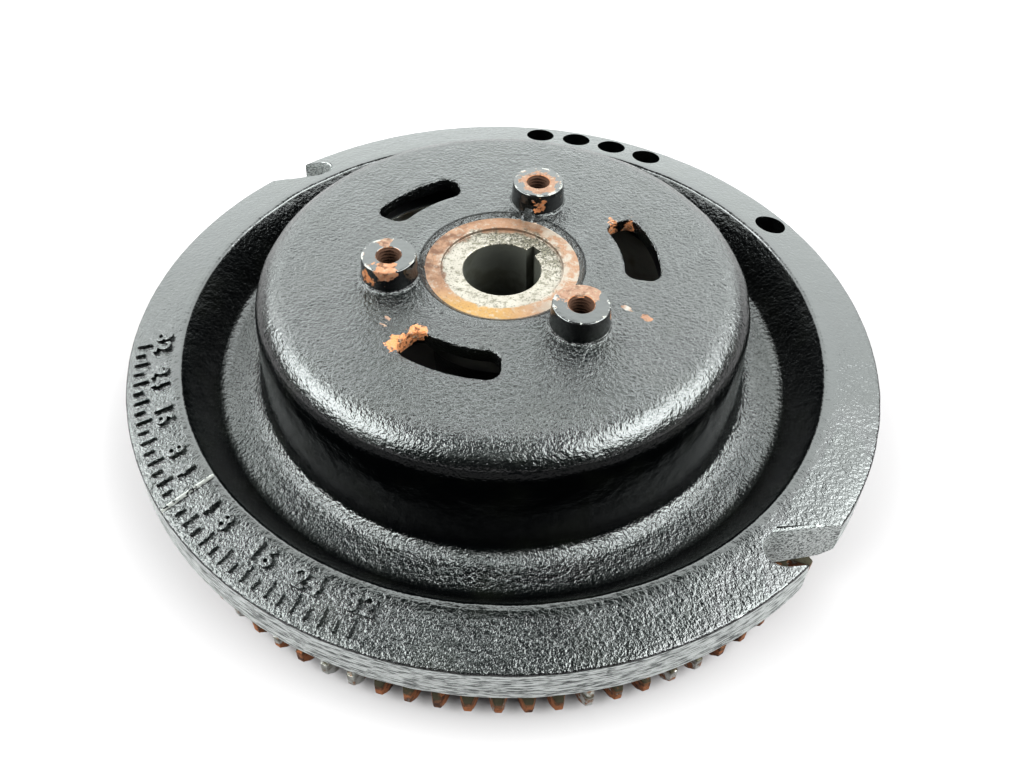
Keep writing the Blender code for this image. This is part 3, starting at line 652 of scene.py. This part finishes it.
def edgeMaterial(e, r):
    # the flange's machined outer band and the milled notches: thin paint over iron, streaked round
    material, tree, shader = startMaterial("edgeIron", e["light"], 0.45, 0.6)
    lines = aroundAxis(tree, 2300, 34)[0]
    streak = noise(tree, 1.0, 4.0, where=lines, rough=0.6)
    mottle = noise(tree, 260, 3.0, rough=0.6)
    colour = tint(tree, between(tree, streak, 0.44, 0.62), e["light"], e["dark"])
    colour = tint(tree, between(tree, mottle, 0.60, 0.80), colour, e["dark"])
    colour = tint(tree, between(tree, painted(tree, "bare"), 0.45, 0.6), colour, r["orange"])
    rough = between(tree, streak, 0.3, 0.7, 0.34, 0.55)
    link(tree, shader, colour=colour, rough=rough, normal=bump(tree, plus(tree, streak, mottle), 0.0003))
    return material


def boreMaterial(b):
    material, tree, shader = startMaterial("boreSteel", b["colour"], 0.35, 0.85)
    lines = aroundAxis(tree, 1500, 4)[0]
    turned = noise(tree, 1.0, 3.0, where=lines)
    stain = noise(tree, 120, 4.0)
    colour = tint(tree, between(tree, stain, 0.4, 0.7), b["colour"], b["stain"])
    link(tree, shader, colour=colour, rough=between(tree, stain, 0.3, 0.7, 0.28, 0.5),
         normal=bump(tree, turned, 0.00005))
    return material


# where the paint has gone: radius, angle, height, reach, how bare,
# and hue (-1 scraped iron, 0 salmon, 0.4 orange, 1 brown)
patches = {
    "farBossFront": (26.6, 62.0, 63.5, 3.2, 1.0, 0.55), "farBossTop": (35.6, 70.0, 68.0, 7.4, 0.98, 0.02),
    "leftBossChip": (38.2, 200.0, 66.5, 4.3, 1.1, 0.2), "leftBossSide": (43.5, 197.0, 63.5, 4.0, 0.75, 0.5),
    "leftBossFar": (37.0, 180.5, 68.0, 3.2, 0.75, 0.05),
    "nearBossTop": (32.0, 316.5, 68.0, 7.2, 1.1, -0.05),
    "nearBossSide": (44.4, 319.5, 64.5, 2.6, 0.85, 0.45),
    "rightSlotEnd": (43.5, 31.0, 57.0, 3.4, 1.0, 0.55),
    "rightSlotCorner": (50.3, 30.0, 56.5, 3.4, 1.0, 0.35),
    "nearSlotHubSide": (41.5, 232.4, 59.6, 3.3, 1.25, 0.42),
    "nearSlotOutside": (48.6, 230.6, 59.0, 3.2, 1.2, 0.42),
    "nearSlotEnd": (44.8, 231.6, 57.0, 3.4, 1.1, 0.5),
    "chipA": (43.9, -28.2, 59.8, 1.1, 1.2, -0.4), "chipB": (50.6, -29.3, 59.8, 1.6, 1.1, 0.05),
    "chipC": (45.9, 162.6, 59.8, 1.2, 0.8, -0.5),
    "stain": (45.0, 219.0, 59.8, 3.0, 0.62, -0.1),
    "notchSpot": (121.8, -46.2, 29.0, 2.4, 1.0, 0.5),
}
texture = {"disc": 1.35, "corner": 0.5, "wall": 0.12, "fillet": 1.15, "outerWall": 0.5, "lip": 0.2,
           "flange": 0.85, "bossSide": 0.4, "bossTop": 0.1, "under": 0.5, "recess": 1.5,
           "smoothR": (0, 70, 77, 80, 81.9, 84, 92, 97, 105, 106.3, 108, 109.2, 125)}


def setAttribute(mesh, name, values):
    made = mesh.attributes.new(name, "FLOAT", "POINT")
    made.data.foreach_set("value", np.asarray(values, np.float32))


def facePlaces(mesh):
    # middle and normal of every face, in millimetres
    middles = np.empty(len(mesh.polygons) * 3, np.float32)
    normals = np.empty(len(mesh.polygons) * 3, np.float32)
    mesh.polygons.foreach_get("center", middles)
    mesh.polygons.foreach_get("normal", normals)
    return middles.reshape(-1, 3) / mm, normals.reshape(-1, 3)


def markCasting(mesh, c, t):
    # per vertex: how strong the sandy grain is, how bare of paint, and the hue of what shows
    points = np.empty(len(mesh.vertices) * 3, np.float32)
    mesh.vertices.foreach_get("co", points)
    points = points.reshape(-1, 3) / mm
    radius, z = np.hypot(points[:, 0], points[:, 1]), points[:, 2]
    level = (t["disc"], t["disc"], t["corner"], t["corner"], t["wall"], t["fillet"], t["fillet"],
             t["outerWall"], t["outerWall"], t["lip"], t["lip"], t["flange"], t["flange"])
    grain = np.interp(radius, t["smoothR"], level)
    grain = np.where((radius > 76) & (radius < 84) & (z > 27) & (z < 52), t["wall"], grain)
    grain = np.where(z < c["bevelZ"], t["under"], grain)
    nearLeft = np.clip(1 - np.hypot(points[:, 0] + 60, points[:, 1] + 105) / 190, 0, 1)
    grain *= np.where(radius > 108, 0.5 + 0.75 * nearLeft, 1)
    grain += t["recess"] * np.exp(-(((radius - c["recessR"] - 0.3) / 1.6) ** 2)) * (z > c["seatZ"])
    bare, hue = np.zeros(len(points)), np.full(len(points), 0.3)
    angle = deg(scale["zeroAngle"])
    aside = np.abs(points[:, 1] * math.cos(angle) - points[:, 0] * math.sin(angle))
    line = (aside < scale["zeroWidth"] * 0.62) & (radius > scale["zeroInR"] - 1)
    line &= (points[:, 0] < 0) & (z > c["flangeZ"] - 0.4)  # the line at zero, drawn in a light grey
    bare, hue = np.where(line, 0.55, bare), np.where(line, -1.0, hue)
    for i in range(bosses["count"]):
        angle = deg(bosses["angle"] + 360 / bosses["count"] * i)
        away = np.hypot(points[:, 0] - bosses["circleR"] * math.cos(angle),
                        points[:, 1] - bosses["circleR"] * math.sin(angle))
        above = z - c["discZ"]
        grain = np.where((away < 9.6) & (above > 0.8), t["bossSide"], grain)
        grain = np.where((away < bosses["topR"] + 0.1) & (above > bosses["height"] - 0.8), t["bossTop"],
                         grain)
        inside = (away < 4.3) & (z > 40) & (above < bosses["height"] - 0.1)
        bare, hue = np.where(inside, 1.0, bare), np.where(inside, 1.0, hue)
        rim = (np.abs(away - bosses["topR"] + 0.35) < 0.3) & (above > bosses["height"] - 0.5)
        bare, hue = np.where(rim, 0.43, bare), np.where(rim, -0.5, hue)
    for r, angle, height, reach, much, colour in patches.values():
        spot = np.array([r * math.cos(deg(angle)), r * math.sin(deg(angle)), height])
        near = much * np.exp(-((np.linalg.norm(points - spot, axis=1) / reach) ** 2))
        hue = np.where(near > np.maximum(bare, 0.05), colour, hue)
        bare = np.maximum(bare, near)
    setAttribute(mesh, "grain", grain)
    setAttribute(mesh, "bare", bare)
    setAttribute(mesh, "hue", hue)


def castingZones(mesh, c):
    # which finish each face takes: 0 paint, 1 hub, 2 edge and notches, 3 bore, 4 shaded paint, a dimmer
    # copy that is painted shade
    middle, normal = facePlaces(mesh)
    radius, z = np.hypot(middle[:, 0], middle[:, 1]), middle[:, 2]
    zone = np.zeros(len(middle), np.int32)
    steepness = np.where(radius < 90, 0.5, 0.72)
    upright = np.abs(normal[:, 2])
    # the groove's walls and a thin ring round the hub recess take the shaded paint: painted shade in those
    # hollows
    walls = (radius > 76) & (radius < c["lipR"]) & (z > c["grooveZ"] + 0.4) & (upright < steepness)
    zone[walls | (np.abs(radius - c["recessR"] + 0.2) < 0.8) & (z > c["faceZ"] - 0.2)] = 4
    zone[(radius < c["faceR"] + 0.25) & (z > c["seatZ"] - 0.6) & (radius > c["boreR"] - 0.1)] = 1
    zone[(radius < c["boreFootR"] + 3.2) & (z <= c["seatZ"] - 0.6) & (upright < 0.6)] = 3
    zone[(radius > c["flangeR"] - 0.5) & (z > c["bevelZ"] + 0.8) & (z < c["flangeZ"] - 1.4)] = 2
    for i in range(2):
        angle = deg(notches["angle"] + 180 * i)
        centre = (c["flangeR"] - notches["inset"]) * np.array([math.cos(angle), math.sin(angle)])
        away = np.linalg.norm(middle[:, :2] - centre, axis=1)
        wall = (away < 30) & (radius > 109) & (upright < 0.75)
        wall &= (z > c["underZ"] - 1) & (z < c["flangeZ"] + 0.6)
        zone[wall & (radius < c["flangeR"] - 0.4)] = 2
    mesh.polygons.foreach_set("material_index", zone)


blackPaint = paintMaterial(paint, rust, "blackPaint", paint["ior"])
shadedPaint = paintMaterial(paint, rust, "shadedPaint", paint["shadedIor"])  # the same paint with a weaker reflection: painted shade on the groove walls and the recess ring
hubIron, edgeIron, boreSteel = hubMaterial(hub), edgeMaterial(edge, rust), boreMaterial(bore)
markCasting(castingBody.data, casting, texture)
finishPiece(castingBody, [blackPaint, hubIron, edgeIron, boreSteel, shadedPaint], "black_paint",
            "flywheel_casting")
castingZones(castingBody.data, casting)
print("casting finished")


# the starter ring gear, shrunk on the casting's foot
gear = {"teeth": 93, "module": 2.54, "firstTooth": -89.35, "pressure": 20.0, "dedendum": 1.25,
        "boreR": 107.04, "lowZ": 2.6, "highZ": 9.6, "leadIn": 2.1, "leadInZ": 2.3, "edge": 0.35,
        "midR": 111.0}


def toothOutline(g, inset):
    # radius and turn round one tooth: root, involute flank, tip, flank;
    # then the same for every tooth, all drawn in by inset
    pitchR = g["teeth"] * g["module"] / 2
    baseR = pitchR * math.cos(deg(g["pressure"]))
    rootR, tipR = pitchR - g["dedendum"] * g["module"] - inset * 0.4, pitchR + g["module"] - inset
    flank = np.array([rootR + 0.45, rootR + 1.0, pitchR - 1.4, pitchR, pitchR + 1.2, tipR - 0.3])
    involute = lambda a: np.tan(a) - a
    flankAngle = np.arccos(np.minimum(1, baseR / flank))
    half = math.pi / 2 / g["teeth"] + involute(deg(g["pressure"])) - involute(flankAngle)
    half = half - inset / flank
    halfPitch = math.pi / g["teeth"]
    r = np.concatenate([[rootR, rootR, rootR + 0.12], flank, [tipR - 0.06, tipR]])
    t = np.concatenate([[halfPitch, half[0] + 0.9 / rootR, half[0] + 0.35 / rootR],
                        half, [half[-1] - 0.16 / tipR, half[-1] - 0.42 / tipR]])
    oneR, oneT = np.concatenate([r, r[:0:-1]]), np.concatenate([-t, t[:0:-1]])
    middle = deg(g["firstTooth"]) + np.arange(g["teeth"])[:, None] * tau / g["teeth"]
    turn = (middle + oneT).reshape(-1)
    return np.tile(oneR, g["teeth"]), turn


def gearMesh(g):
    # the outline at a row of heights, closed through the bore;
    # the lower edge of each tooth is bevelled for the starter pinion
    full, turn = toothOutline(g, 0.0)
    soft, softTurn = toothOutline(g, 0.1)
    small, smallTurn = toothOutline(g, g["edge"])
    tip, low, high, boreR, e = full.max(), g["lowZ"], g["highZ"], g["boreR"], g["edge"]
    flat = np.full_like(full, 1.0)
    bevel = [np.minimum(small, tip - g["leadIn"]), np.minimum(soft, tip - g["leadIn"] + 0.3),
             np.minimum(full, tip - g["leadIn"] * 0.45)]
    rows = [
        (boreR * flat, turn, low + 0.5), ((boreR + 0.5) * flat, turn, low), (g["midR"] * flat, turn, low),
        (bevel[0], smallTurn, low), (bevel[1], softTurn, low + 0.3),
        (bevel[2], turn, low + g["leadInZ"] * 0.55), (full, turn, low + g["leadInZ"]),
        (full, turn, (low + high) / 2 + 0.8), (full, turn, high - e),
        (soft, softTurn, high - e * 0.35), (small, smallTurn, high),
        (g["midR"] * flat, turn, high), ((boreR + 0.5) * flat, turn, high),
        (boreR * flat, turn, high - 0.5),
    ]
    points = np.array([np.stack([r * np.cos(t), r * np.sin(t), np.full_like(r, z)], -1)
                       for r, t, z in rows])
    return meshFrom("ring_gear", points, gridFaces(len(rows), len(full), wrapRows=True)), turn, len(rows)


# the ring gear's colours; the last is painted shade for its upper face under the flange
steel = {"bright": (0.210, 0.208, 0.200), "dull": (0.090, 0.086, 0.072), "orange": (0.165, 0.062, 0.026),
         "brown": (0.030, 0.013, 0.008), "underFlangeShade": (0.026, 0.022, 0.013)}


def gearMaterial(s):
    # rust by the attribute "rusted", tooth by tooth, and on the upper face, which lies under the flange,
    # painted shade in dark olive brown
    material, tree, shader = startMaterial("ringGearSteel", s["bright"], 0.5, 0.7)
    rusted, underFlangeShade = painted(tree, "rusted"), painted(tree, "underFlangeShade")
    crumbs, fine = noise(tree, 330, 4.0, rough=0.65), noise(tree, 1400, 3.0)
    edgeOf = plus(tree, rusted, times(tree, calc(tree, "SUBTRACT", crumbs, 0.5), 1.1))
    metal = tint(tree, between(tree, crumbs, 0.4, 0.65), s["bright"], s["dull"])
    rusty = tint(tree, between(tree, crumbs, 0.38, 0.58), s["brown"], s["orange"])
    rusty = tint(tree, between(tree, fine, 0.58, 0.72), rusty, s["brown"])
    bareNow = between(tree, edgeOf, 0.42, 0.58)
    colour = tint(tree, bareNow, metal, rusty)
    # the upper face darkened towards dark olive brown: painted shade under the flange
    colour = tint(tree, times(tree, underFlangeShade, between(tree, noise(tree, 240, 2.0), 0.34, 0.48)),
                  colour, s["underFlangeShade"])
    rough = add(tree, "Mix", {0: bareNow, 2: 0.42, 3: 0.8}, data_type="FLOAT").outputs[0]
    height = plus(tree, times(tree, crumbs, 1.0), times(tree, fine, 0.3))
    link(tree, shader, colour=colour, rough=rough, normal=bump(tree, height, 0.00025))
    return material


def buildGear(g, s):
    # how rusted each tooth is: random, and worse on one side of the wheel
    mesh, turn, rows = gearMesh(g)
    obj = put("ringGear", mesh)
    tooth = np.round((turn - deg(g["firstTooth"])) / tau * g["teeth"]).astype(int) % g["teeth"]
    rng = np.random.default_rng(11)
    age = rng.uniform(-0.6, 0.5, g["teeth"])[tooth] + 0.68
    age = age + 0.36 * np.sin(turn + deg(135)) + 0.12 * np.sin(3 * turn)
    points = np.empty(len(mesh.vertices) * 3, np.float32)
    mesh.vertices.foreach_get("co", points)
    z = points[2::3] / mm
    setAttribute(mesh, "rusted", np.tile(age, rows))
    # the upper face, which lies under the flange, is marked for its painted shade
    setAttribute(mesh, "underFlangeShade", np.clip((z - g["highZ"] + 0.5) * 4, 0, 1))
    finishPiece(obj, [gearMaterial(s)], "rusty_steel", "ring_gear", sharp=30)
    print("ring gear:", len(mesh.polygons), "faces")


buildGear(gear, steel)


# inside the cup: charge magnets and spacers, liner, retaining ring with its screws, trigger ring
inside = {"magnets": 6, "magnetInR": 64.5, "magnetOutR": 73.3, "lowZ": 7.0, "highZ": 39.3,
          "spacerW": 12.0, "gap": 0.3, "edge": 0.7, "linerR": 63.7, "linerT": 0.5,
          "ringOutR": 81.56, "ringLowZ": 3.7, "ringHighZ": 6.7,
          "screwR": 78.06, "shank": 2.0, "headR": 3.6, "headH": 2.2, "socketR": 1.45,
          "socketDeep": 1.2, "screwTopZ": 14.0}
trigger = {"boreR": 24.8, "outR": 30.0, "lowZ": 39.3, "highZ": 49.3, "magnetInR": 27.6,
           "magnetLowZ": 41.3, "magnetHighZ": 47.3, "arc": 46.0, "angle": 20.0, "gap": 0.3, "edge": 0.4}


def sectorMesh(name, inner, outer, low, high, arc, angle, edge, steps):
    # a rectangle with rounded corners carried round the axis, its last sections shrunk to round the ends
    ends = np.array([0.0, 0.3, 1.0])
    shrink = edge * (1 - np.sqrt(1 - (1 - ends) ** 2))
    half = deg(arc) / 2 * (inner + outer) / 2
    along = np.concatenate([-half + edge * ends, np.linspace(-half + edge, half - edge, steps)[1:-1],
                            half - edge * ends[::-1]])
    grow = np.concatenate([shrink, np.zeros(steps - 2), shrink[::-1]])
    rings = []
    for s, g in zip(along, grow):
        corners = [(inner + g, low + g, edge), (inner + g, high - g, edge),
                   (outer - g, high - g, edge), (outer - g, low + g, edge)]
        flat = roundedSection(corners, 100, 30)
        turn = deg(angle) + s / ((inner + outer) / 2)
        x, y = flat[:, 0] * math.cos(turn), flat[:, 0] * math.sin(turn)
        rings.append(np.stack([x, y, flat[:, 1]], -1))
    return loftMesh(name, rings)


def ferriteMaterial():
    material, tree, shader = startMaterial("ferrite", (0.030, 0.031, 0.033), 0.55, 0.1)
    cloud, fine = noise(tree, 150, 4.0), noise(tree, 1600, 3.0)
    colour = tint(tree, between(tree, cloud, 0.4, 0.7), (0.022, 0.023, 0.025), (0.05, 0.048, 0.045))
    colour = tint(tree, between(tree, fine, 0.62, 0.72), colour, (0.10, 0.075, 0.05))
    link(tree, shader, colour=colour, rough=between(tree, cloud, 0.3, 0.7, 0.45, 0.7),
         normal=bump(tree, fine, 0.00008))
    return material


def plasticMaterial():
    material, tree, shader = startMaterial("blackPlastic", (0.012, 0.012, 0.012), 0.55)
    cloud, fine = noise(tree, 90, 3.0), noise(tree, 1900, 2.0)
    colour = tint(tree, between(tree, cloud, 0.45, 0.75), (0.010, 0.010, 0.010), (0.028, 0.026, 0.022))
    link(tree, shader, colour=colour, rough=between(tree, cloud, 0.3, 0.7, 0.45, 0.65),
         normal=bump(tree, fine, 0.00006))
    return material


def sleeveMaterial():
    material, tree, shader = startMaterial("stainlessSleeve", (0.32, 0.31, 0.28), 0.38, 0.9)
    lines = aroundAxis(tree, 1800, 12)[0]
    brushed, stain = noise(tree, 1.0, 3.0, where=lines), noise(tree, 110, 4.0)
    colour = tint(tree, between(tree, stain, 0.45, 0.75), (0.33, 0.32, 0.29), (0.18, 0.15, 0.11))
    link(tree, shader, colour=colour, rough=between(tree, brushed, 0.3, 0.7, 0.30, 0.5),
         normal=bump(tree, brushed, 0.00004))
    return material


def platedMaterial():
    material, tree, shader = startMaterial("platedSteel", (0.26, 0.24, 0.19), 0.4, 0.8)
    cloud, fine = noise(tree, 130, 4.0, rough=0.6), noise(tree, 1500, 3.0)
    colour = tint(tree, between(tree, cloud, 0.42, 0.66), (0.27, 0.25, 0.20), (0.15, 0.12, 0.075))
    colour = tint(tree, between(tree, fine, 0.62, 0.74), colour, (0.12, 0.045, 0.014))
    link(tree, shader, colour=colour, rough=between(tree, cloud, 0.3, 0.7, 0.32, 0.6),
         normal=bump(tree, fine, 0.00007))
    return material


def ringMesh(name, inner, outer, low, high, edge, steps=180):
    # a rectangle with rounded corners turned right round the axis
    corners = [(inner, low, edge), (inner, high, edge), (outer, high, edge), (outer, low, edge)]
    return turnedMesh(name, roundedSection(corners, 4, 30), steps)


def buildMagnets(m, ferrite, plastic):
    # arc magnets and spacers take turns round the wall; the gap is left at each side of a magnet
    pitch = 360 / m["magnets"]
    spacerArc = math.degrees(m["spacerW"] / m["magnetOutR"])
    magnetArc = pitch - spacerArc - math.degrees(2 * m["gap"] / m["magnetInR"])
    for i in range(m["magnets"]):
        size = (m["magnetInR"], m["magnetOutR"], m["lowZ"], m["highZ"])
        magnet = put(f"chargeMagnet{i + 1}",
                     sectorMesh("magnet", *size, magnetArc, pitch * i, m["edge"], 24))
        finishPiece(magnet, [ferrite], "ferrite", f"charge_magnet_{i + 1}")
        spacer = put(f"magnetSpacer{i + 1}",
                     sectorMesh("spacer", *size, spacerArc, pitch * (i + 0.5), m["edge"] / 2, 8))
        finishPiece(spacer, [plastic], "black_plastic", f"magnet_spacer_{i + 1}")


def buildRetainer(m, plated, sleeve):
    tube = ringMesh("liner", m["linerR"], m["linerR"] + m["linerT"], m["lowZ"], m["highZ"], 0.15)
    finishPiece(put("magnetLiner", tube), [sleeve], "stainless_sleeve", "magnet_liner")
    plate = put("retainingRing", ringMesh("retainer", m["linerR"], m["ringOutR"], m["ringLowZ"],
                                          m["ringHighZ"], 0.4))
    holeR, over, below = m["shank"] + m["gap"], m["ringHighZ"] + 1, m["ringLowZ"] - 1
    top = m["ringLowZ"] - m["gap"]
    face = top - m["headH"]
    hole = [(0, over), (holeR, over), (holeR, below), (0, below)]
    corners = [(0, m["screwTopZ"], 0), (m["shank"], m["screwTopZ"], 0.6), (m["shank"], top, 0),
               (m["headR"], top, 0.2), (m["headR"], face, 0.7), (0, face, 0)]
    body = roundedSection(corners, 1.5, 20, closed=False)
    key = [(0, face + m["socketDeep"]), (m["socketR"], face + m["socketDeep"]),
           (m["socketR"], face - 1), (0, face - 1)]
    for i in range(m["magnets"]):
        a = deg(360 / m["magnets"] * (i + 0.5))
        x, y = m["screwR"] * math.cos(a), m["screwR"] * math.sin(a)
        combine(plate, turnedMesh("hole", hole, 40, ring=False, move=(x, y, 0)), "DIFFERENCE")
        screw = put(f"retainingScrew{i + 1}", turnedMesh("screw", body, 40, ring=False, move=(x, y, 0)))
        combine(screw, turnedMesh("key", key, 6, ring=False, move=(x, y, 0)), "DIFFERENCE")
        finishPiece(screw, [plated], "plated_steel", f"retaining_screw_{i + 1}")
    finishPiece(plate, [plated], "plated_steel", "retaining_ring")


def buildTrigger(t, plastic, ferrite):
    holder = put("triggerRing", ringMesh("trigger", t["boreR"], t["outR"], t["lowZ"], t["highZ"],
                                         t["edge"], 120))
    for i in range(2):
        angle = t["angle"] + 180 * i
        wide = t["arc"] + 2 * math.degrees(t["gap"] / t["magnetInR"])
        pocket = sectorMesh("pocket", t["magnetInR"] - t["gap"], t["outR"] + 2,
                            t["magnetLowZ"] - t["gap"], t["magnetHighZ"] + t["gap"],
                            wide * 1.03, angle, 0.1, 16)
        combine(holder, pocket, "DIFFERENCE")
        magnet = sectorMesh("magnet", t["magnetInR"], t["outR"], t["magnetLowZ"], t["magnetHighZ"],
                            t["arc"], angle, 0.3, 16)
        finishPiece(put(f"triggerMagnet{i + 1}", magnet), [ferrite], "ferrite", f"trigger_magnet_{i + 1}")
    finishPiece(holder, [plastic], "black_plastic", "trigger_ring")


ferriteFinish, plasticFinish = ferriteMaterial(), plasticMaterial()
buildMagnets(inside, ferriteFinish, plasticFinish)
buildRetainer(inside, platedMaterial(), sleeveMaterial())
buildTrigger(trigger, plasticFinish, ferriteFinish)
print("inner pieces built")


# studio: camera, two soft boxes, sky and paper floor
studio = {"floorSize": 12.0, "floorTone": 0.19, "cameraFrom": (0.0, -0.22227, 0.24859),
          "tilt": 47.519, "pan": 1.941, "roll": -0.147, "lens": 31.6, "shift": (0.0323, -0.0863),
          "panelFar": 2.5, "panelWide": 2.9, "panelHigh": 1.65, "panelLight": 15.0,
          "panels": ((-100.0, 40.0), (105.0, 44.0))}
sky = {"colour": (0.94, 1.0, 0.985), "frontLow": 0.10, "frontHigh": 1.2, "sideLow": 0.1, "backLow": 3.6,
       "backHigh": 7.0, "spot": 0.1, "spotWay": (-0.06, 0.17, 0.983),
       "spotInside": 17.0, "spotOutside": 33.0}


def buildCamera(s):
    camera = bpy.data.objects.new("camera", bpy.data.cameras.new("camera"))
    bpy.context.scene.collection.objects.link(camera)
    camera.location = s["cameraFrom"]
    pan = Matrix.Rotation(deg(s["pan"]), 3, "Z")
    tilt = Matrix.Rotation(deg(s["tilt"]), 3, "X")
    roll = Matrix.Rotation(deg(s["roll"]), 3, "Z")
    camera.rotation_euler = (pan @ tilt @ roll).to_euler()
    camera.data.lens = s["lens"]
    camera.data.shift_x, camera.data.shift_y = s["shift"]
    bpy.context.scene.camera = camera


def buildPanels(s):
    # two wide soft boxes, left and right; each has its azimuth from +Y towards +X and its height
    for number, (azimuth, height) in enumerate(s["panels"], 1):
        data = bpy.data.lights.new(f"panel{number}", "AREA")
        data.shape = "RECTANGLE"
        data.size, data.size_y = s["panelWide"], s["panelHigh"]
        data.color = sky["colour"]
        data.energy = s["panelLight"] * math.pi * s["panelWide"] * s["panelHigh"]
        panel = bpy.data.objects.new(f"panel{number}", data)
        bpy.context.scene.collection.objects.link(panel)
        a, h = deg(azimuth), deg(height)
        panel.location = (s["panelFar"] * math.cos(h) * math.sin(a),
                          s["panelFar"] * math.cos(h) * math.cos(a), s["panelFar"] * math.sin(h))
        panel.rotation_euler = panel.location.to_track_quat("Z", "Y").to_euler()


def buildSky(k):
    # brightness by direction: bright behind the wheel and high up, dim low at the front and sides,
    # with one dim patch almost overhead
    world = bpy.data.worlds.new("studioWorld")
    bpy.context.scene.world = world
    world.use_nodes = True
    tree = world.node_tree
    direction = add(tree, "TexCoord", {}).outputs["Generated"]
    way = add(tree, "SeparateXYZ", {0: direction}).outputs
    front = between(tree, way[2], 0.42, 0.78, k["frontLow"], k["frontHigh"])
    flat = calc(tree, "SQRT", calc(tree, "SUBTRACT", 1.0001, times(tree, way[2], way[2])))
    facing = between(tree, calc(tree, "DIVIDE", way[1], flat), -0.85, -0.30)
    side = between(tree, calc(tree, "ABSOLUTE", calc(tree, "DIVIDE", way[0], flat)), 0.6, 0.92,
                   k["backLow"], k["sideLow"])
    back = between(tree, way[2], 0.15, 0.75, side, k["backHigh"])
    light = add(tree, "Mix", {0: facing, 2: front, 3: back}, data_type="FLOAT").outputs[0]
    near = add(tree, "VectorMath", {0: direction, 1: k["spotWay"]},
               operation="DOT_PRODUCT").outputs["Value"]
    spot = between(tree, near, math.cos(deg(k["spotOutside"])), math.cos(deg(k["spotInside"])))
    light = add(tree, "Mix", {0: spot, 2: light, 3: k["spot"]}, data_type="FLOAT").outputs[0]
    tree.nodes["Background"].inputs["Color"].default_value = (*k["colour"], 1)
    tree.links.new(light, tree.nodes["Background"].inputs["Strength"])


def buildFloor(s):
    half = s["floorSize"] / 2
    mesh = bpy.data.meshes.new("floor")
    corners = [(-half, -half, 0), (half, -half, 0), (half, half, 0), (-half, half, 0)]
    mesh.from_pydata(corners, [], [(0, 1, 2, 3)])
    floor = put("floor", mesh)
    tone = tuple(s["floorTone"] / part for part in sky["colour"])  # grey under the sky's own tint
    material, _, shader = startMaterial("floorPaper", tone, 0.9)
    shader.inputs["Specular IOR Level"].default_value = 0.0
    mesh.materials.append(material)


buildCamera(studio)
buildPanels(studio)
buildSky(sky)
buildFloor(studio)
bpy.context.scene.view_settings.view_transform = "Standard"
bpy.context.scene.view_settings.look = "Medium High Contrast"
print("studio built")
